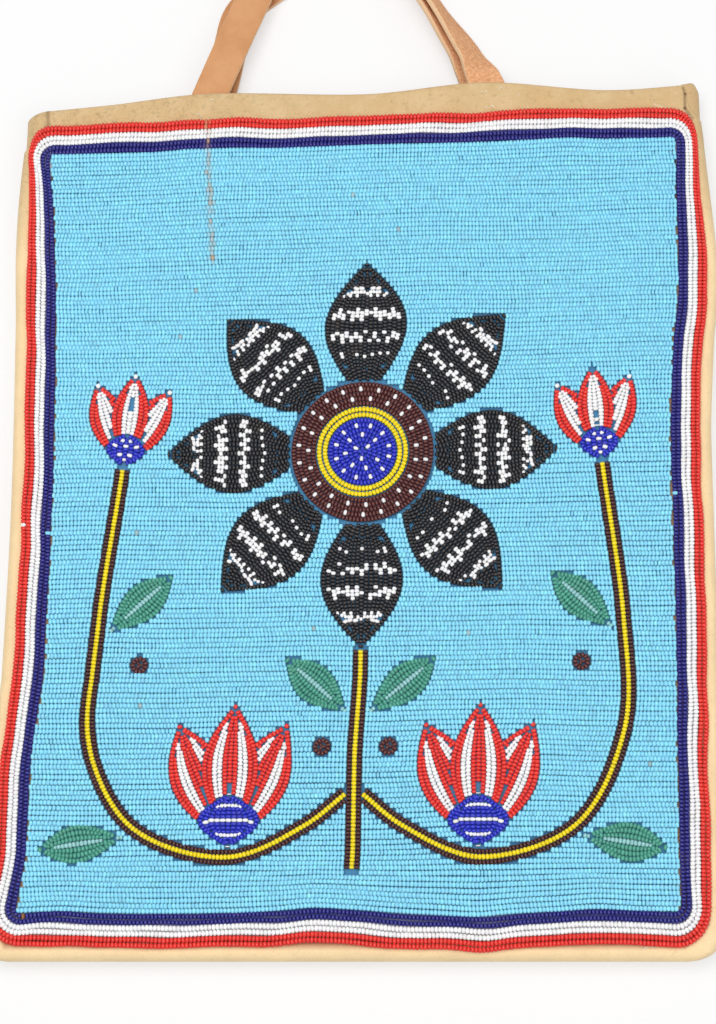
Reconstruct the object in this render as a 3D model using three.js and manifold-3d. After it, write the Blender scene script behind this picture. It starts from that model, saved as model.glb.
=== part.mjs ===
// A flat beaded hide bag lying on its back: beaded face up (+Z), mouth towards +Y, handles laid out beyond
// the mouth. Millimetres. The origin is the middle of the flat back panel, on the surface it lies on.
import * as THREE from 'three';
import { mergeVertices } from 'three/addons/utils/BufferGeometryUtils.js';
import Module from 'manifold-3d';

const wasm = await Module();
wasm.setup();

// Hide body
const BAG_WIDTH = 286;
const BAG_HEIGHT = 356;
const BAG_DEPTH = 15;
const HIDE_THICKNESS = 1.3;
const CORNER_RADIUS = 10;
const GUSSET_BULGE = 2.2;
const GUSSET_LAP = 2.6;
const HEM_WIDTH = 12;
const SEAM_GAP = 0.3;

// Bead rows
const ROW_PITCH = 2;
const BEAD_HEIGHT = 1.9;
const GROOVE_DEPTH = 0.8;
const ROWS_PER_COLOUR = 2;
const ROWS_PER_RIDGE = 3;
const FIELD_GAP = 0.3;
const HIDE_ABOVE_BORDER = 10.6;
const HIDE_BELOW_BORDER = 2.6;
const HIDE_BESIDE_BORDER = 2.6;
const GROUND_CORNER_RADIUS = 2.5;
const SIDE_STEPS = 10;

// How the rows and the mouth edge run out of square
const ROW_RISE = 0.03;
const BORDER_STRETCH = 1.1;
const BORDER_SQUEEZE = 0.25;
const MOUTH_PULL = 1.2;
const MOUTH_PULL_DEPTH = 88;
// Height of the mouth edge over its straight line, at shares of the half width
const MOUTH_WAVE = [[-1, -5], [-0.75, -2.2], [-0.45, 1.8], [0, -0.5], [0.35, 3.4], [0.75, -1.8], [1, 0]];
// Shifts of the ground's left and right edges, at shares of the way from its middle to its top
const LEFT_WAVE = [[-1, -7.5], [-0.85, -4.4], [-0.62, -3.7], [-0.42, 0], [0.05, 1.2], [0.55, 0.2],
  [0.78, -1.8], [1, -4.8]];
const RIGHT_WAVE = [[-1, -5], [-0.7, -4.3], [-0.35, -3.1], [0.2, -2.5], [0.45, 0.2], [0.6, 3], [0.8, 3.3],
  [1, 4]];

// Handles
const STRAP_WIDTH = 14.6;
const STRAP_THICKNESS = 2.2;
const STRAP_SEWN_LENGTH = 24;
const STRAP_CHAMFER = 0.5;
const STRAP_LEAN = 0.4;
const LOOP_TOP_RADIUS = 11;
const HANDLE_NESTING = 23;
const FRONT_HANDLE = {
  topX: -16,
  leftX: -65,
  rightX: 54,
  reach: 107,
  leftLeg: [[0.05, 0.04, 0, 0], [0.25, 0.21, 0.1, 0.01], [0.47, 0.4, 0.3, 0.03], [0.66, 0.57, 0.3, 0.18],
    [0.86, 0.74, 1, 0.43]],
  rightLeg: [[0.05, 0.03, 0, 1], [0.19, 0.13, 0.3, 0.76], [0.4, 0.33, 0.45, 0.66], [0.62, 0.53, 0.8, 0.64],
    [0.84, 0.72, 1, 0.57]],
};
const BACK_HANDLE = {
  topX: -8,
  leftX: -64,
  rightX: 52,
  reach: FRONT_HANDLE.reach - HANDLE_NESTING,
  leftLeg: [[0.05, 0.04, 0, 0], [0.3, 0.12, 0.5, 0], [0.5, 0.2, 0.9, 0], [0.65, 0.44, 1, 0],
    [0.83, 0.89, 1, 0.17]],
  rightLeg: [[0.05, 0.03, 0, 1], [0.3, 0.2, 1, 0.8], [0.52, 0.41, 1, 0.68], [0.74, 0.6, 1, 0.62],
    [0.9, 0.79, 1, 0.55]],
};

// Floral spray
const ROSETTE_HEIGHT = 182;
const ROSETTE_RADIUS = 80;
const PETAL_COUNT = 8;
const PETAL_WIDTH = 33;
const PETAL_ROOT_RADIUS = 30;
const CENTRE_RADIUS = 14;
const RING_WIDTH = 5;
const STEM_ROWS = 3;
const VINE_STEPS = 16;
const STEM_FOOT_HEIGHT = 16;
const VINE_HEIGHT = 21;
const VINE_SIDE_MARGIN = 21;
const VINE_BELOW_ROSETTE = 6;
const TULIP_LENGTH = 0.308 * ROSETTE_HEIGHT;
const TULIP_PETAL_WIDTH = 22;
const TULIP_SPREAD = 0.42;
const CUP_LENGTH = 21;
const CUP_WIDTH = 24;
const BUD_LENGTH = 40;
const BUD_PETAL_WIDTH = 15;
const BUD_CUP_LENGTH = 15;
const BUD_CUP_WIDTH = 16;
const LEAF_LENGTH = 34;
const LEAF_WIDTH = 15;
const LEAF_SEAT = 1;
const STEM_LEAF_BELOW = 25;
const STEM_LEAF_ANGLE = 0.7;
const LOW_LEAF_ANGLE = -0.15;
const HIGH_LEAF_ANGLE = 2.4;
const BERRY_REACH = 13;
const BERRY_DIAMETER = 7.5;
const BERRY_SIDES = 10;
const DISC_SIDES = 24;

// Worked out from the sizes above
const PANEL_HALF_WIDTH = BAG_WIDTH / 2 - GUSSET_BULGE;
const PANEL_BOTTOM = -BAG_HEIGHT / 2 + GUSSET_BULGE;
const MOUTH_Y = BAG_HEIGHT / 2;
const BORDER_WIDTH = 3 * ROWS_PER_COLOUR * ROW_PITCH;
const BORDER_TOP = MOUTH_Y - HIDE_ABOVE_BORDER;
const GROUND = {
  left: -PANEL_HALF_WIDTH + HIDE_BESIDE_BORDER + BORDER_WIDTH,
  right: PANEL_HALF_WIDTH - HIDE_BESIDE_BORDER - BORDER_WIDTH,
  bottom: PANEL_BOTTOM + HIDE_BELOW_BORDER + BORDER_WIDTH * BORDER_STRETCH,
  top: BORDER_TOP - BORDER_WIDTH * BORDER_STRETCH,
};
const GROUND_MIDDLE = (GROUND.top + GROUND.bottom) / 2;
const GROUND_HALF_HEIGHT = (GROUND.top - GROUND.bottom) / 2;
const GROUND_RIDGES = Math.ceil((GROUND.top - GROUND.bottom) / (ROW_PITCH * ROWS_PER_RIDGE));
const BEAD_BASE = BAG_DEPTH + SEAM_GAP;
const BEAD_TOP = BEAD_BASE + BEAD_HEIGHT;
const GROOVE_Z = BEAD_TOP - GROOVE_DEPTH;
const HEM_TOP = BAG_DEPTH - HIDE_THICKNESS - SEAM_GAP;
const HEM_UNDER = HEM_TOP - HIDE_THICKNESS;

// Placing on the bag

// The height of a smooth curve through points, at a share between the first one's and the last one's.
function waveOf(points) {
  const curve = new THREE.CatmullRomCurve3(points.map(([share, rise]) => new THREE.Vector3(share, rise, 0)));
  return (place) => {
    const share = THREE.MathUtils.clamp(place, points[0][0], points.at(-1)[0]);
    const index = points.findIndex((point, i) => i > 0 && share <= point[0]);
    const [from, to] = [points[index - 1][0], points[index][0]];
    return curve.getPoint((index - 1 + (share - from) / (to - from)) / (points.length - 1)).y;
  };
}

const mouthWave = waveOf(MOUTH_WAVE);
const leftWave = waveOf(LEFT_WAVE);
const rightWave = waveOf(RIGHT_WAVE);

// How far the ground's edges carry a point sideways, in proportion to its way across.
function sideShift(x, y) {
  const share = (y - GROUND_MIDDLE) / GROUND_HALF_HEIGHT;
  const across = THREE.MathUtils.clamp((x - GROUND.left) / (GROUND.right - GROUND.left), 0, 1);
  return THREE.MathUtils.lerp(leftWave(share), rightWave(share), across);
}

// Rows climb to the right, more so towards the mouth.
function rowRise(x, y) {
  return ROW_RISE * x * (y + BAG_HEIGHT / 2) / BAG_HEIGHT;
}

// The hide's sides follow the ground's but draw in at the mouth, and the mouth edge waves above the border.
function layHide(point) {
  const { x, y } = point;
  const drawnIn = THREE.MathUtils.smoothstep(y, MOUTH_Y - MOUTH_PULL_DEPTH, MOUTH_Y - HIDE_ABOVE_BORDER);
  const pull = MOUTH_PULL * x / PANEL_HALF_WIDTH;
  point.x += THREE.MathUtils.lerp(sideShift(x, y), -pull, drawnIn);
  const nearMouth = THREE.MathUtils.smoothstep(y, BORDER_TOP, MOUTH_Y);
  point.y += rowRise(x, y) + mouthWave(x / (BAG_WIDTH / 2)) * nearMouth;
  return point;
}

// The border's rows are squeezed at the two top corners, the outer ones the most, and lie wider apart
// above and below the ground.
function layBeads(point) {
  const { x, y } = point;
  const squeezed = THREE.MathUtils.smoothstep(y, MOUTH_Y - MOUTH_PULL_DEPTH, GROUND.top);
  const beside = Math.max(Math.abs(x) - GROUND.right, 0);
  const beyond = Math.max(Math.abs(y - GROUND_MIDDLE) - GROUND_HALF_HEIGHT, 0);
  point.x += sideShift(x, y) - Math.sign(x) * BORDER_SQUEEZE * squeezed * beside ** 2 / BORDER_WIDTH;
  point.y += Math.sign(y - GROUND_MIDDLE) * (BORDER_STRETCH - 1) * beyond;
  point.y += rowRise(point.x, point.y);
  return point;
}

function placed(geometry, lay) {
  const position = geometry.attributes.position;
  const point = new THREE.Vector3();
  for (let i = 0; i < position.count; i += 1) {
    lay(point.fromBufferAttribute(position, i));
    position.setXYZ(i, point.x, point.y, point.z);
  }
  return geometry;
}

// Closed surfaces

// Rings of points, each ring closed, joined one to the next. The last joins the first when closed is true;
// otherwise both ends are capped.
function loft(rings, closed = false) {
  const sides = rings[0].length;
  const positions = rings.flat().flatMap((p) => [p.x, p.y, p.z]);
  const faces = [];
  const spans = closed ? rings.length : rings.length - 1;
  for (let i = 0; i < spans; i += 1) {
    const next = (i + 1) % rings.length;
    for (let j = 0; j < sides; j += 1) {
      const k = (j + 1) % sides;
      const [a, b, c, d] = [i * sides + j, next * sides + j, next * sides + k, i * sides + k];
      faces.push(a, b, c, a, c, d);
    }
  }
  if (!closed) {
    const flat = capPlane(rings[0]);
    const lastRing = (rings.length - 1) * sides;
    for (const [a, b, c] of THREE.ShapeUtils.triangulateShape(flat, [])) {
      faces.push(a, b, c, lastRing + a, lastRing + c, lastRing + b);
    }
  }
  const geometry = new THREE.BufferGeometry();
  geometry.setAttribute('position', new THREE.Float32BufferAttribute(positions, 3));
  geometry.setIndex(faces);
  return facingOut(geometry);
}

// A ring's points in the plane that they lie in, counted so that their order is kept.
function capPlane(ring) {
  const normal = new THREE.Vector3();
  const centre = ring.reduce((sum, p) => sum.add(p), new THREE.Vector3()).divideScalar(ring.length);
  ring.forEach((p, i) => {
    const q = ring[(i + 1) % ring.length];
    normal.add(p.clone().sub(centre).cross(q.clone().sub(centre)));
  });
  normal.normalize();
  const across = ring[0].clone().sub(centre).projectOnPlane(normal).normalize();
  const up = normal.clone().cross(across);
  return ring.map((p) => {
    const arm = p.clone().sub(centre);
    return new THREE.Vector2(arm.dot(across), arm.dot(up));
  });
}

// Turns every triangle round when the surface encloses a negative volume.
function facingOut(geometry) {
  const position = geometry.attributes.position;
  const index = geometry.index.array;
  const [a, b, c] = [new THREE.Vector3(), new THREE.Vector3(), new THREE.Vector3()];
  let volume = 0;
  for (let i = 0; i < index.length; i += 3) {
    a.fromBufferAttribute(position, index[i]);
    b.fromBufferAttribute(position, index[i + 1]);
    c.fromBufferAttribute(position, index[i + 2]);
    volume += a.dot(b.cross(c));
  }
  if (volume < 0) {
    for (let i = 0; i < index.length; i += 3) {
      [index[i], index[i + 1]] = [index[i + 1], index[i]];
    }
  }
  return geometry;
}

// A plan outline standing from one height to another.
function prism(outline, low, high) {
  const shape = new THREE.Shape(outline.map((p) => new THREE.Vector2(p.x, p.y)));
  const geometry = new THREE.ExtrudeGeometry(shape, { depth: high - low, bevelEnabled: false });
  return geometry.translate(0, 0, low);
}

// A profile in Y and Z carried along X, with a station at every given x.
function carriedAlongX(profile, stations) {
  const rings = stations.map((x) => profile.map(([y, z]) => new THREE.Vector3(x, y, z)));
  return loft(rings);
}

function solidOf(geometry) {
  const bare = new THREE.BufferGeometry();
  bare.setAttribute('position', geometry.attributes.position);
  bare.setIndex(geometry.index);
  const merged = mergeVertices(bare);
  const vertProperties = new Float32Array(merged.attributes.position.array);
  const triVerts = new Uint32Array(merged.index.array);
  return new wasm.Manifold(new wasm.Mesh({ numProp: 3, vertProperties, triVerts }));
}

function geometryOf(solid) {
  const mesh = solid.getMesh();
  const geometry = new THREE.BufferGeometry();
  geometry.setAttribute('position', new THREE.BufferAttribute(mesh.vertProperties, 3));
  geometry.setIndex(new THREE.BufferAttribute(mesh.triVerts, 1));
  return geometry;
}

function joined(solids) {
  return solids.reduce((sum, next) => sum.add(next));
}

// Plan outlines

// A box with round corners, grown outwards all round, with the same number of points at any size.
function roundedBox(box, radius, grow, sideSteps) {
  const r = radius + grow;
  const corners = [
    [box.right - radius, box.top - radius, 0],
    [box.left + radius, box.top - radius, 1],
    [box.left + radius, box.bottom + radius, 2],
    [box.right - radius, box.bottom + radius, 3],
  ];
  const cornerSteps = 4;
  const outline = [];
  corners.forEach(([cx, cy, quarter], i) => {
    for (let step = 0; step <= cornerSteps; step += 1) {
      const angle = (quarter + step / cornerSteps) * Math.PI / 2;
      outline.push(new THREE.Vector2(cx + r * Math.cos(angle), cy + r * Math.sin(angle)));
    }
    const steps = sideSteps[i];
    const from = outline.at(-1);
    const [nx, ny, nextQuarter] = corners[(i + 1) % corners.length];
    const turn = nextQuarter * Math.PI / 2;
    const to = new THREE.Vector2(nx + r * Math.cos(turn), ny + r * Math.sin(turn));
    for (let step = 1; step < steps; step += 1) {
      outline.push(from.clone().lerp(to, step / steps));
    }
  });
  return outline;
}

function groundOutline(grow) {
  return roundedBox(GROUND, GROUND_CORNER_RADIUS, grow, [1, SIDE_STEPS, 1, SIDE_STEPS]);
}

function disc(x, y, radius, sides) {
  const outline = [];
  for (let i = 0; i < sides; i += 1) {
    const angle = 2 * Math.PI * i / sides;
    outline.push(new THREE.Vector2(x + radius * Math.cos(angle), y + radius * Math.sin(angle)));
  }
  return outline;
}

// A leaf or petal from its root along a direction: half width = width/2 * sin(pi * t^fullness), t from
// 0 at the root to 1 at the tip.
function blade(root, direction, length, width, grow = 0, fullness = 1.15) {
  const steps = 7;
  const along = new THREE.Vector2(Math.cos(direction), Math.sin(direction));
  const across = new THREE.Vector2(-along.y, along.x);
  const edge = (t, side) => root.clone()
    .addScaledVector(along, -grow + t * (length + 2 * grow))
    .addScaledVector(across, side * (width / 2 + grow) * Math.sin(Math.PI * t ** fullness));
  const outline = [];
  for (let i = 0; i < steps; i += 1) {
    outline.push(edge(i / steps, -1));
  }
  for (let i = steps; i > 0; i -= 1) {
    outline.push(edge(i / steps, 1));
  }
  return outline;
}

// Bead rows

// The top of a run of rows side by side, from one side to the other: a crest at each row's middle and a
// groove between two rows.
function rowTops(rows, pitch) {
  const tops = [[0, GROOVE_Z]];
  for (let row = 0; row < rows; row += 1) {
    tops.push([(row + 0.5) * pitch, BEAD_TOP], [(row + 1) * pitch, GROOVE_Z]);
  }
  return tops;
}

function beadSolid(outline) {
  return solidOf(placed(prism(outline, BEAD_BASE, BEAD_TOP), layBeads));
}

function beadPocket(outline) {
  return solidOf(placed(prism(outline, BEAD_BASE - BEAD_HEIGHT, BEAD_TOP + BEAD_HEIGHT), layBeads));
}

// Two rows round the field, the given number of rows out from the ground.
function borderRing(rowsOut) {
  const inner = rowsOut * ROW_PITCH + FIELD_GAP;
  const pitch = ROW_PITCH - FIELD_GAP / ROWS_PER_COLOUR;
  const tops = rowTops(ROWS_PER_COLOUR, pitch);
  const section = [[0, BEAD_BASE], ...tops, [ROWS_PER_COLOUR * pitch, BEAD_BASE]];
  const rings = section.map(([out, z]) => groundOutline(inner + out)
    .map((p) => new THREE.Vector3(p.x, p.y, z)));
  return placed(loft(rings, true), layBeads);
}

// Rows side by side along a curve in plan.
function rowsAlong(curve, steps) {
  const half = STEM_ROWS * ROW_PITCH / 2;
  const tops = rowTops(STEM_ROWS, ROW_PITCH);
  const section = [[0, BEAD_BASE], ...tops, [2 * half, BEAD_BASE]];
  const rings = [];
  for (let i = 0; i <= steps; i += 1) {
    const at = curve.getPointAt(i / steps);
    const along = curve.getTangentAt(i / steps);
    const across = new THREE.Vector3(-along.y, along.x, 0);
    rings.push(section.map(([side, z]) => at.clone().addScaledVector(across, side - half).setZ(z)));
  }
  return solidOf(placed(loft(rings), layBeads));
}

// The same rows' pocket, with a gap on both sides and at both ends.
function pocketAlong(curve, steps) {
  const half = STEM_ROWS * ROW_PITCH / 2 + FIELD_GAP;
  const rings = [];
  for (let i = 0; i <= steps; i += 1) {
    const at = curve.getPointAt(i / steps);
    const along = curve.getTangentAt(i / steps);
    const across = new THREE.Vector3(-along.y, along.x, 0);
    if (i === 0 || i === steps) {
      at.addScaledVector(along, i === 0 ? -FIELD_GAP : FIELD_GAP);
    }
    const [low, high] = [BEAD_BASE - BEAD_HEIGHT, BEAD_TOP + BEAD_HEIGHT];
    rings.push([[-half, low], [half, low], [half, high], [-half, high]]
      .map(([side, z]) => at.clone().addScaledVector(across, side).setZ(z)));
  }
  return solidOf(placed(loft(rings), layBeads));
}

// Hide body

// A panel turned in at the mouth: its section in Y and Z is a J, flat below and folded over at the top.
function panelSolid() {
  const foldY = MOUTH_Y - (BAG_DEPTH - HEM_UNDER) / 2;
  const foldZ = (BAG_DEPTH + HEM_UNDER) / 2;
  const foldSteps = 4;
  const arc = (radius, turn) => {
    const points = [];
    for (let i = 0; i <= foldSteps; i += 1) {
      const angle = Math.PI / 2 - Math.PI * (turn > 0 ? i : foldSteps - i) / foldSteps;
      points.push([foldY + radius * Math.cos(angle), foldZ + radius * Math.sin(angle)]);
    }
    return points;
  };
  const profile = [
    [PANEL_BOTTOM, BAG_DEPTH - HIDE_THICKNESS],
    [PANEL_BOTTOM, BAG_DEPTH],
    [BORDER_TOP, BAG_DEPTH],
    ...arc((BAG_DEPTH - HEM_UNDER) / 2, 1),
    [MOUTH_Y - HEM_WIDTH, HEM_UNDER],
    [MOUTH_Y - HEM_WIDTH, HEM_TOP],
    ...arc(SEAM_GAP / 2, -1),
    [BORDER_TOP, BAG_DEPTH - HIDE_THICKNESS],
  ];
  const waveSteps = 14;
  const stations = [];
  for (let i = 0; i <= waveSteps; i += 1) {
    stations.push(BAG_WIDTH / 2 * (2 * i / waveSteps - 1));
  }
  const sheet = solidOf(placed(carriedAlongX(profile, stations), layHide));
  return sheet.intersect(outlineSolid()).subtract(gussetRoom(-1)).subtract(gussetRoom(1));
}

// Everything inside the panel's outline in plan, with its two round bottom corners.
function outlineSolid() {
  const reach = { left: -PANEL_HALF_WIDTH, right: PANEL_HALF_WIDTH, bottom: PANEL_BOTTOM, top: BAG_HEIGHT };
  const outline = roundedBox(reach, CORNER_RADIUS, 0, [1, SIDE_STEPS, 1, SIDE_STEPS]);
  return solidOf(placed(prism(outline, -BAG_DEPTH, 2 * BAG_DEPTH), layHide));
}

// Room beside the hem for the end of the gusset's flange.
function gussetRoom(side) {
  const inner = PANEL_HALF_WIDTH - GUSSET_LAP - SEAM_GAP;
  const room = new THREE.BoxGeometry(2 * (PANEL_HALF_WIDTH - inner), 3 * HEM_WIDTH, BAG_DEPTH);
  room.translate(side * PANEL_HALF_WIDTH, MOUTH_Y, BAG_DEPTH - HIDE_THICKNESS - BAG_DEPTH / 2);
  return solidOf(placed(room, layHide));
}

// The gusset's open C section, outwards from the panels' edge and up.
function gussetSection() {
  const low = HIDE_THICKNESS + SEAM_GAP;
  const high = BAG_DEPTH - low;
  const steps = 6;
  const wall = (bulge, from, to, start, turn) => {
    const points = [];
    for (let i = 0; i <= steps; i += 1) {
      const t = turn > 0 ? i / steps : 1 - i / steps;
      points.push([start + (bulge - start) * Math.sin(Math.PI * t), from + (to - from) * t]);
    }
    return points;
  };
  return [
    [-GUSSET_LAP, low],
    ...wall(GUSSET_BULGE, low, high, -0.3, 1),
    [-GUSSET_LAP, high],
    [-GUSSET_LAP, high - HIDE_THICKNESS],
    ...wall(GUSSET_BULGE - HIDE_THICKNESS, low + HIDE_THICKNESS, high - HIDE_THICKNESS, -1.2, -1),
    [-GUSSET_LAP, low + HIDE_THICKNESS],
  ];
}

function gussetGeometry() {
  const corner = (x, y, start) => {
    const steps = 6;
    const stations = [];
    for (let i = 0; i <= steps; i += 1) {
      const angle = (start + i / steps) * Math.PI / 2;
      stations.push([x, y, Math.cos(angle), Math.sin(angle)]);
    }
    return stations;
  };
  const side = PANEL_HALF_WIDTH - CORNER_RADIUS;
  const foot = PANEL_BOTTOM + CORNER_RADIUS;
  const edge = [];
  for (let step = 1; step < SIDE_STEPS; step += 1) {
    edge.push(THREE.MathUtils.lerp(BORDER_TOP, foot, step / SIDE_STEPS));
  }
  const down = [MOUTH_Y, BORDER_TOP, ...edge];
  const stations = [
    ...down.map((y) => [-side, y, -1, 0]),
    ...corner(-side, foot, 2),
    ...corner(side, foot, 3),
    ...down.map((y) => [side, y, 1, 0]).reverse(),
  ];
  const section = gussetSection();
  const rings = stations.map(([x, y, outX, outY]) => section.map(([out, z]) => {
    const arm = CORNER_RADIUS + out;
    return new THREE.Vector3(x + outX * arm, y + outY * arm, z);
  }));
  return placed(loft(rings), layHide);
}

// Handles

// A strap's middle line from one sewn end to the other. Each station of a leg's route gives its share of
// the reach, its share of the way across to the top of the loop, how far it has settled from the hem's
// height to the ground, and its roll in half turns: 0 is flat, grain side up, a half stands on its edge and
// 1 is flat, flesh side up.
function strapStations(handle) {
  const { leftX, rightX, reach, topX, sewnZ, leftLeg, rightLeg } = handle;
  const crownY = MOUTH_Y + reach - STRAP_THICKNESS / 2;
  const station = (x, y, settled, turn) => {
    const roll = turn * Math.PI;
    const rest = (STRAP_WIDTH * Math.sin(roll) + STRAP_THICKNESS * Math.abs(Math.cos(roll))) / 2 + SEAM_GAP;
    return { at: new THREE.Vector3(x, y, sewnZ + (rest - sewnZ) * settled), roll };
  };
  const leg = (footX, route) => route.map(([share, across, settled, turn]) => station(
    footX + (topX - footX) * across, MOUTH_Y + reach * share, settled, turn));
  const sewn = (footX, turn) => [STRAP_SEWN_LENGTH, STRAP_SEWN_LENGTH / 2].map((depth) => station(
    footX - Math.sign(topX - footX) * STRAP_LEAN * depth, MOUTH_Y - depth, 0, turn));
  return [
    ...sewn(leftX, 0),
    ...leg(leftX, leftLeg),
    station(topX - LOOP_TOP_RADIUS / 2, crownY - LOOP_TOP_RADIUS / 5, 1, 0.49),
    station(topX + LOOP_TOP_RADIUS / 2, crownY - LOOP_TOP_RADIUS / 5, 1, 0.51),
    ...leg(rightX, rightLeg).reverse(),
    ...sewn(rightX, 1).reverse(),
  ];
}

function strapGeometry(stations) {
  const line = new THREE.CatmullRomCurve3(stations.map((station) => station.at), false, 'centripetal');
  const [w, t, c] = [STRAP_WIDTH / 2, STRAP_THICKNESS / 2, STRAP_CHAMFER];
  const section = [[-w, -t + c], [-w + c, -t], [w - c, -t], [w, -t + c],
    [w, t - c], [w - c, t], [-w + c, t], [-w, t - c]];
  const steps = 2 * (stations.length - 1);
  const rings = [];
  for (let i = 0; i <= steps; i += 1) {
    const at = line.getPoint(i / steps);
    const along = line.getTangent(i / steps);
    const along01 = (i / steps) * (stations.length - 1);
    const near = Math.min(Math.floor(along01), stations.length - 2);
    const share = THREE.MathUtils.smoothstep(along01 - near, 0, 1);
    const roll = THREE.MathUtils.lerp(stations[near].roll, stations[near + 1].roll, share);
    const outwards = new THREE.Vector3(-along.y, along.x, 0).normalize();
    const up = along.clone().cross(outwards);
    up.multiplyScalar(Math.sign(up.z));
    const width = outwards.clone().multiplyScalar(Math.cos(roll)).addScaledVector(up, Math.sin(roll));
    const face = outwards.clone().multiplyScalar(-Math.sin(roll)).addScaledVector(up, Math.cos(roll));
    rings.push(section.map(([across, high]) => at.clone()
      .addScaledVector(width, across).addScaledVector(face, high)));
  }
  return loft(rings);
}

// Floral spray

const ROSETTE_Y = GROUND.bottom + ROSETTE_HEIGHT;
const RING_RADIUS = CENTRE_RADIUS + RING_WIDTH;
const STEM_TOP = ROSETTE_Y - ROSETTE_RADIUS - 2 * FIELD_GAP;
const STEM_FOOT = GROUND.bottom + STEM_FOOT_HEIGHT;
const VINE_LOW = GROUND.bottom + VINE_HEIGHT;
const VINE_SIDE = GROUND.right - VINE_SIDE_MARGIN;
const VINE_TOP = ROSETTE_Y - VINE_BELOW_ROSETTE;
const STEM_HALF = STEM_ROWS * ROW_PITCH / 2;

// The vine's middle line, through shares of its reach to the side and of its rise from its lowest point.
function vineCurve(side) {
  const route = [[0, 0.155], [0.18, 0.077], [0.46, 0], [0.82, 0.077], [1, 0.31], [1, 0.594], [0.93, 1]];
  return new THREE.CatmullRomCurve3(route.map(([out, rise]) => {
    const x = Math.max(VINE_SIDE * out, STEM_HALF + FIELD_GAP);
    return new THREE.Vector3(side * x, THREE.MathUtils.lerp(VINE_LOW, VINE_TOP, rise), 0);
  }));
}

// Three petals fanned out from one root, as one field.
function flowerSolids(root, direction, length, width, spread, grow, make) {
  return joined([-spread, 0, spread].map((turn) => make(
    blade(root, direction + turn, length * (turn === 0 ? 1 : 0.94), width, grow))));
}

const spray = [];
let taken = null;

// A field keeps clear of the fields laid before it, and its pocket is kept clear of those laid after it.
function addField(name, colour, solid, pocket) {
  const clear = taken ? solid.subtract(taken) : solid;
  spray.push({ name, colour, geometry: geometryOf(clear) });
  taken = taken ? taken.add(pocket) : pocket;
}

function addRosette() {
  const petals = (grow, make) => {
    const solids = [make(disc(0, ROSETTE_Y, PETAL_ROOT_RADIUS + grow, DISC_SIDES))];
    for (let i = 0; i < PETAL_COUNT; i += 1) {
      const direction = 2 * Math.PI * i / PETAL_COUNT - Math.PI / 2;
      const root = new THREE.Vector2(Math.cos(direction), Math.sin(direction))
        .multiplyScalar(RING_RADIUS).add(new THREE.Vector2(0, ROSETTE_Y));
      solids.push(make(blade(root, direction, ROSETTE_RADIUS - RING_RADIUS, PETAL_WIDTH, grow)));
    }
    return joined(solids);
  };
  const round = (radius, grow) => disc(0, ROSETTE_Y, radius + grow, DISC_SIDES);
  addField('rosette_centre_beads', 0x2a35b0, beadSolid(round(CENTRE_RADIUS, 0)),
    beadPocket(round(CENTRE_RADIUS, FIELD_GAP)));
  addField('rosette_ring_beads', 0xe8cc26, beadSolid(round(RING_RADIUS, 0)),
    beadPocket(round(RING_RADIUS, FIELD_GAP)));
  addField('rosette_petal_beads', 0x24201f, petals(0, beadSolid), petals(FIELD_GAP, beadPocket));
}

function addStems() {
  const foot = new THREE.Vector3(0, STEM_FOOT, 0);
  const top = new THREE.Vector3(0, STEM_TOP, 0);
  const main = new THREE.LineCurve3(foot, top);
  addField('main_stem_beads', 0xd9bd20, rowsAlong(main, 1), pocketAlong(main, 1));
  for (const [name, side] of [['left', -1], ['right', 1]]) {
    const vine = vineCurve(side);
    addField(`${name}_vine_beads`, 0xd9bd20, rowsAlong(vine, VINE_STEPS), pocketAlong(vine, VINE_STEPS));
  }
}

function addFlower(name, root, direction, size, spread) {
  const cup = (grow) => blade(root, direction, size.cupLength, size.cupWidth, grow, 1);
  const petals = (grow, make) => flowerSolids(root, direction, size.length, size.width, spread, grow, make);
  addField(`${name}_cup_beads`, 0x2a35b0, beadSolid(cup(0)), beadPocket(cup(FIELD_GAP)));
  addField(`${name}_petal_beads`, 0xe2402f, petals(0, beadSolid), petals(FIELD_GAP, beadPocket));
}

function addFlowers() {
  const tulip = {
    length: TULIP_LENGTH,
    width: TULIP_PETAL_WIDTH,
    cupLength: CUP_LENGTH,
    cupWidth: CUP_WIDTH,
  };
  const bud = {
    length: BUD_LENGTH,
    width: BUD_PETAL_WIDTH,
    cupLength: BUD_CUP_LENGTH,
    cupWidth: BUD_CUP_WIDTH,
  };
  for (const [name, side] of [['left', -1], ['right', 1]]) {
    const vine = vineCurve(side);
    const tulipSeat = vine.getPoint(2 / 6);
    const tulipRoot = new THREE.Vector2(tulipSeat.x, tulipSeat.y + STEM_HALF + 2 * FIELD_GAP);
    addFlower(`${name}_tulip`, tulipRoot, Math.PI / 2, tulip, TULIP_SPREAD);
    const tip = vine.getPoint(1);
    const along = vine.getTangent(1);
    const budRoot = new THREE.Vector2(tip.x, tip.y).addScaledVector(along, 3 * FIELD_GAP);
    addFlower(`${name}_bud`, budRoot, Math.atan2(along.y, along.x), bud, TULIP_SPREAD);
  }
}

function addLeaf(name, root, direction) {
  addField(name, 0x4aa088, beadSolid(blade(root, direction, LEAF_LENGTH, LEAF_WIDTH)),
    beadPocket(blade(root, direction, LEAF_LENGTH, LEAF_WIDTH, FIELD_GAP)));
}

function addBerry(name, x, y) {
  addField(name, 0x4a1c1a, beadSolid(disc(x, y, BERRY_DIAMETER / 2, BERRY_SIDES)),
    beadPocket(disc(x, y, BERRY_DIAMETER / 2 + FIELD_GAP, BERRY_SIDES)));
}

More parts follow.
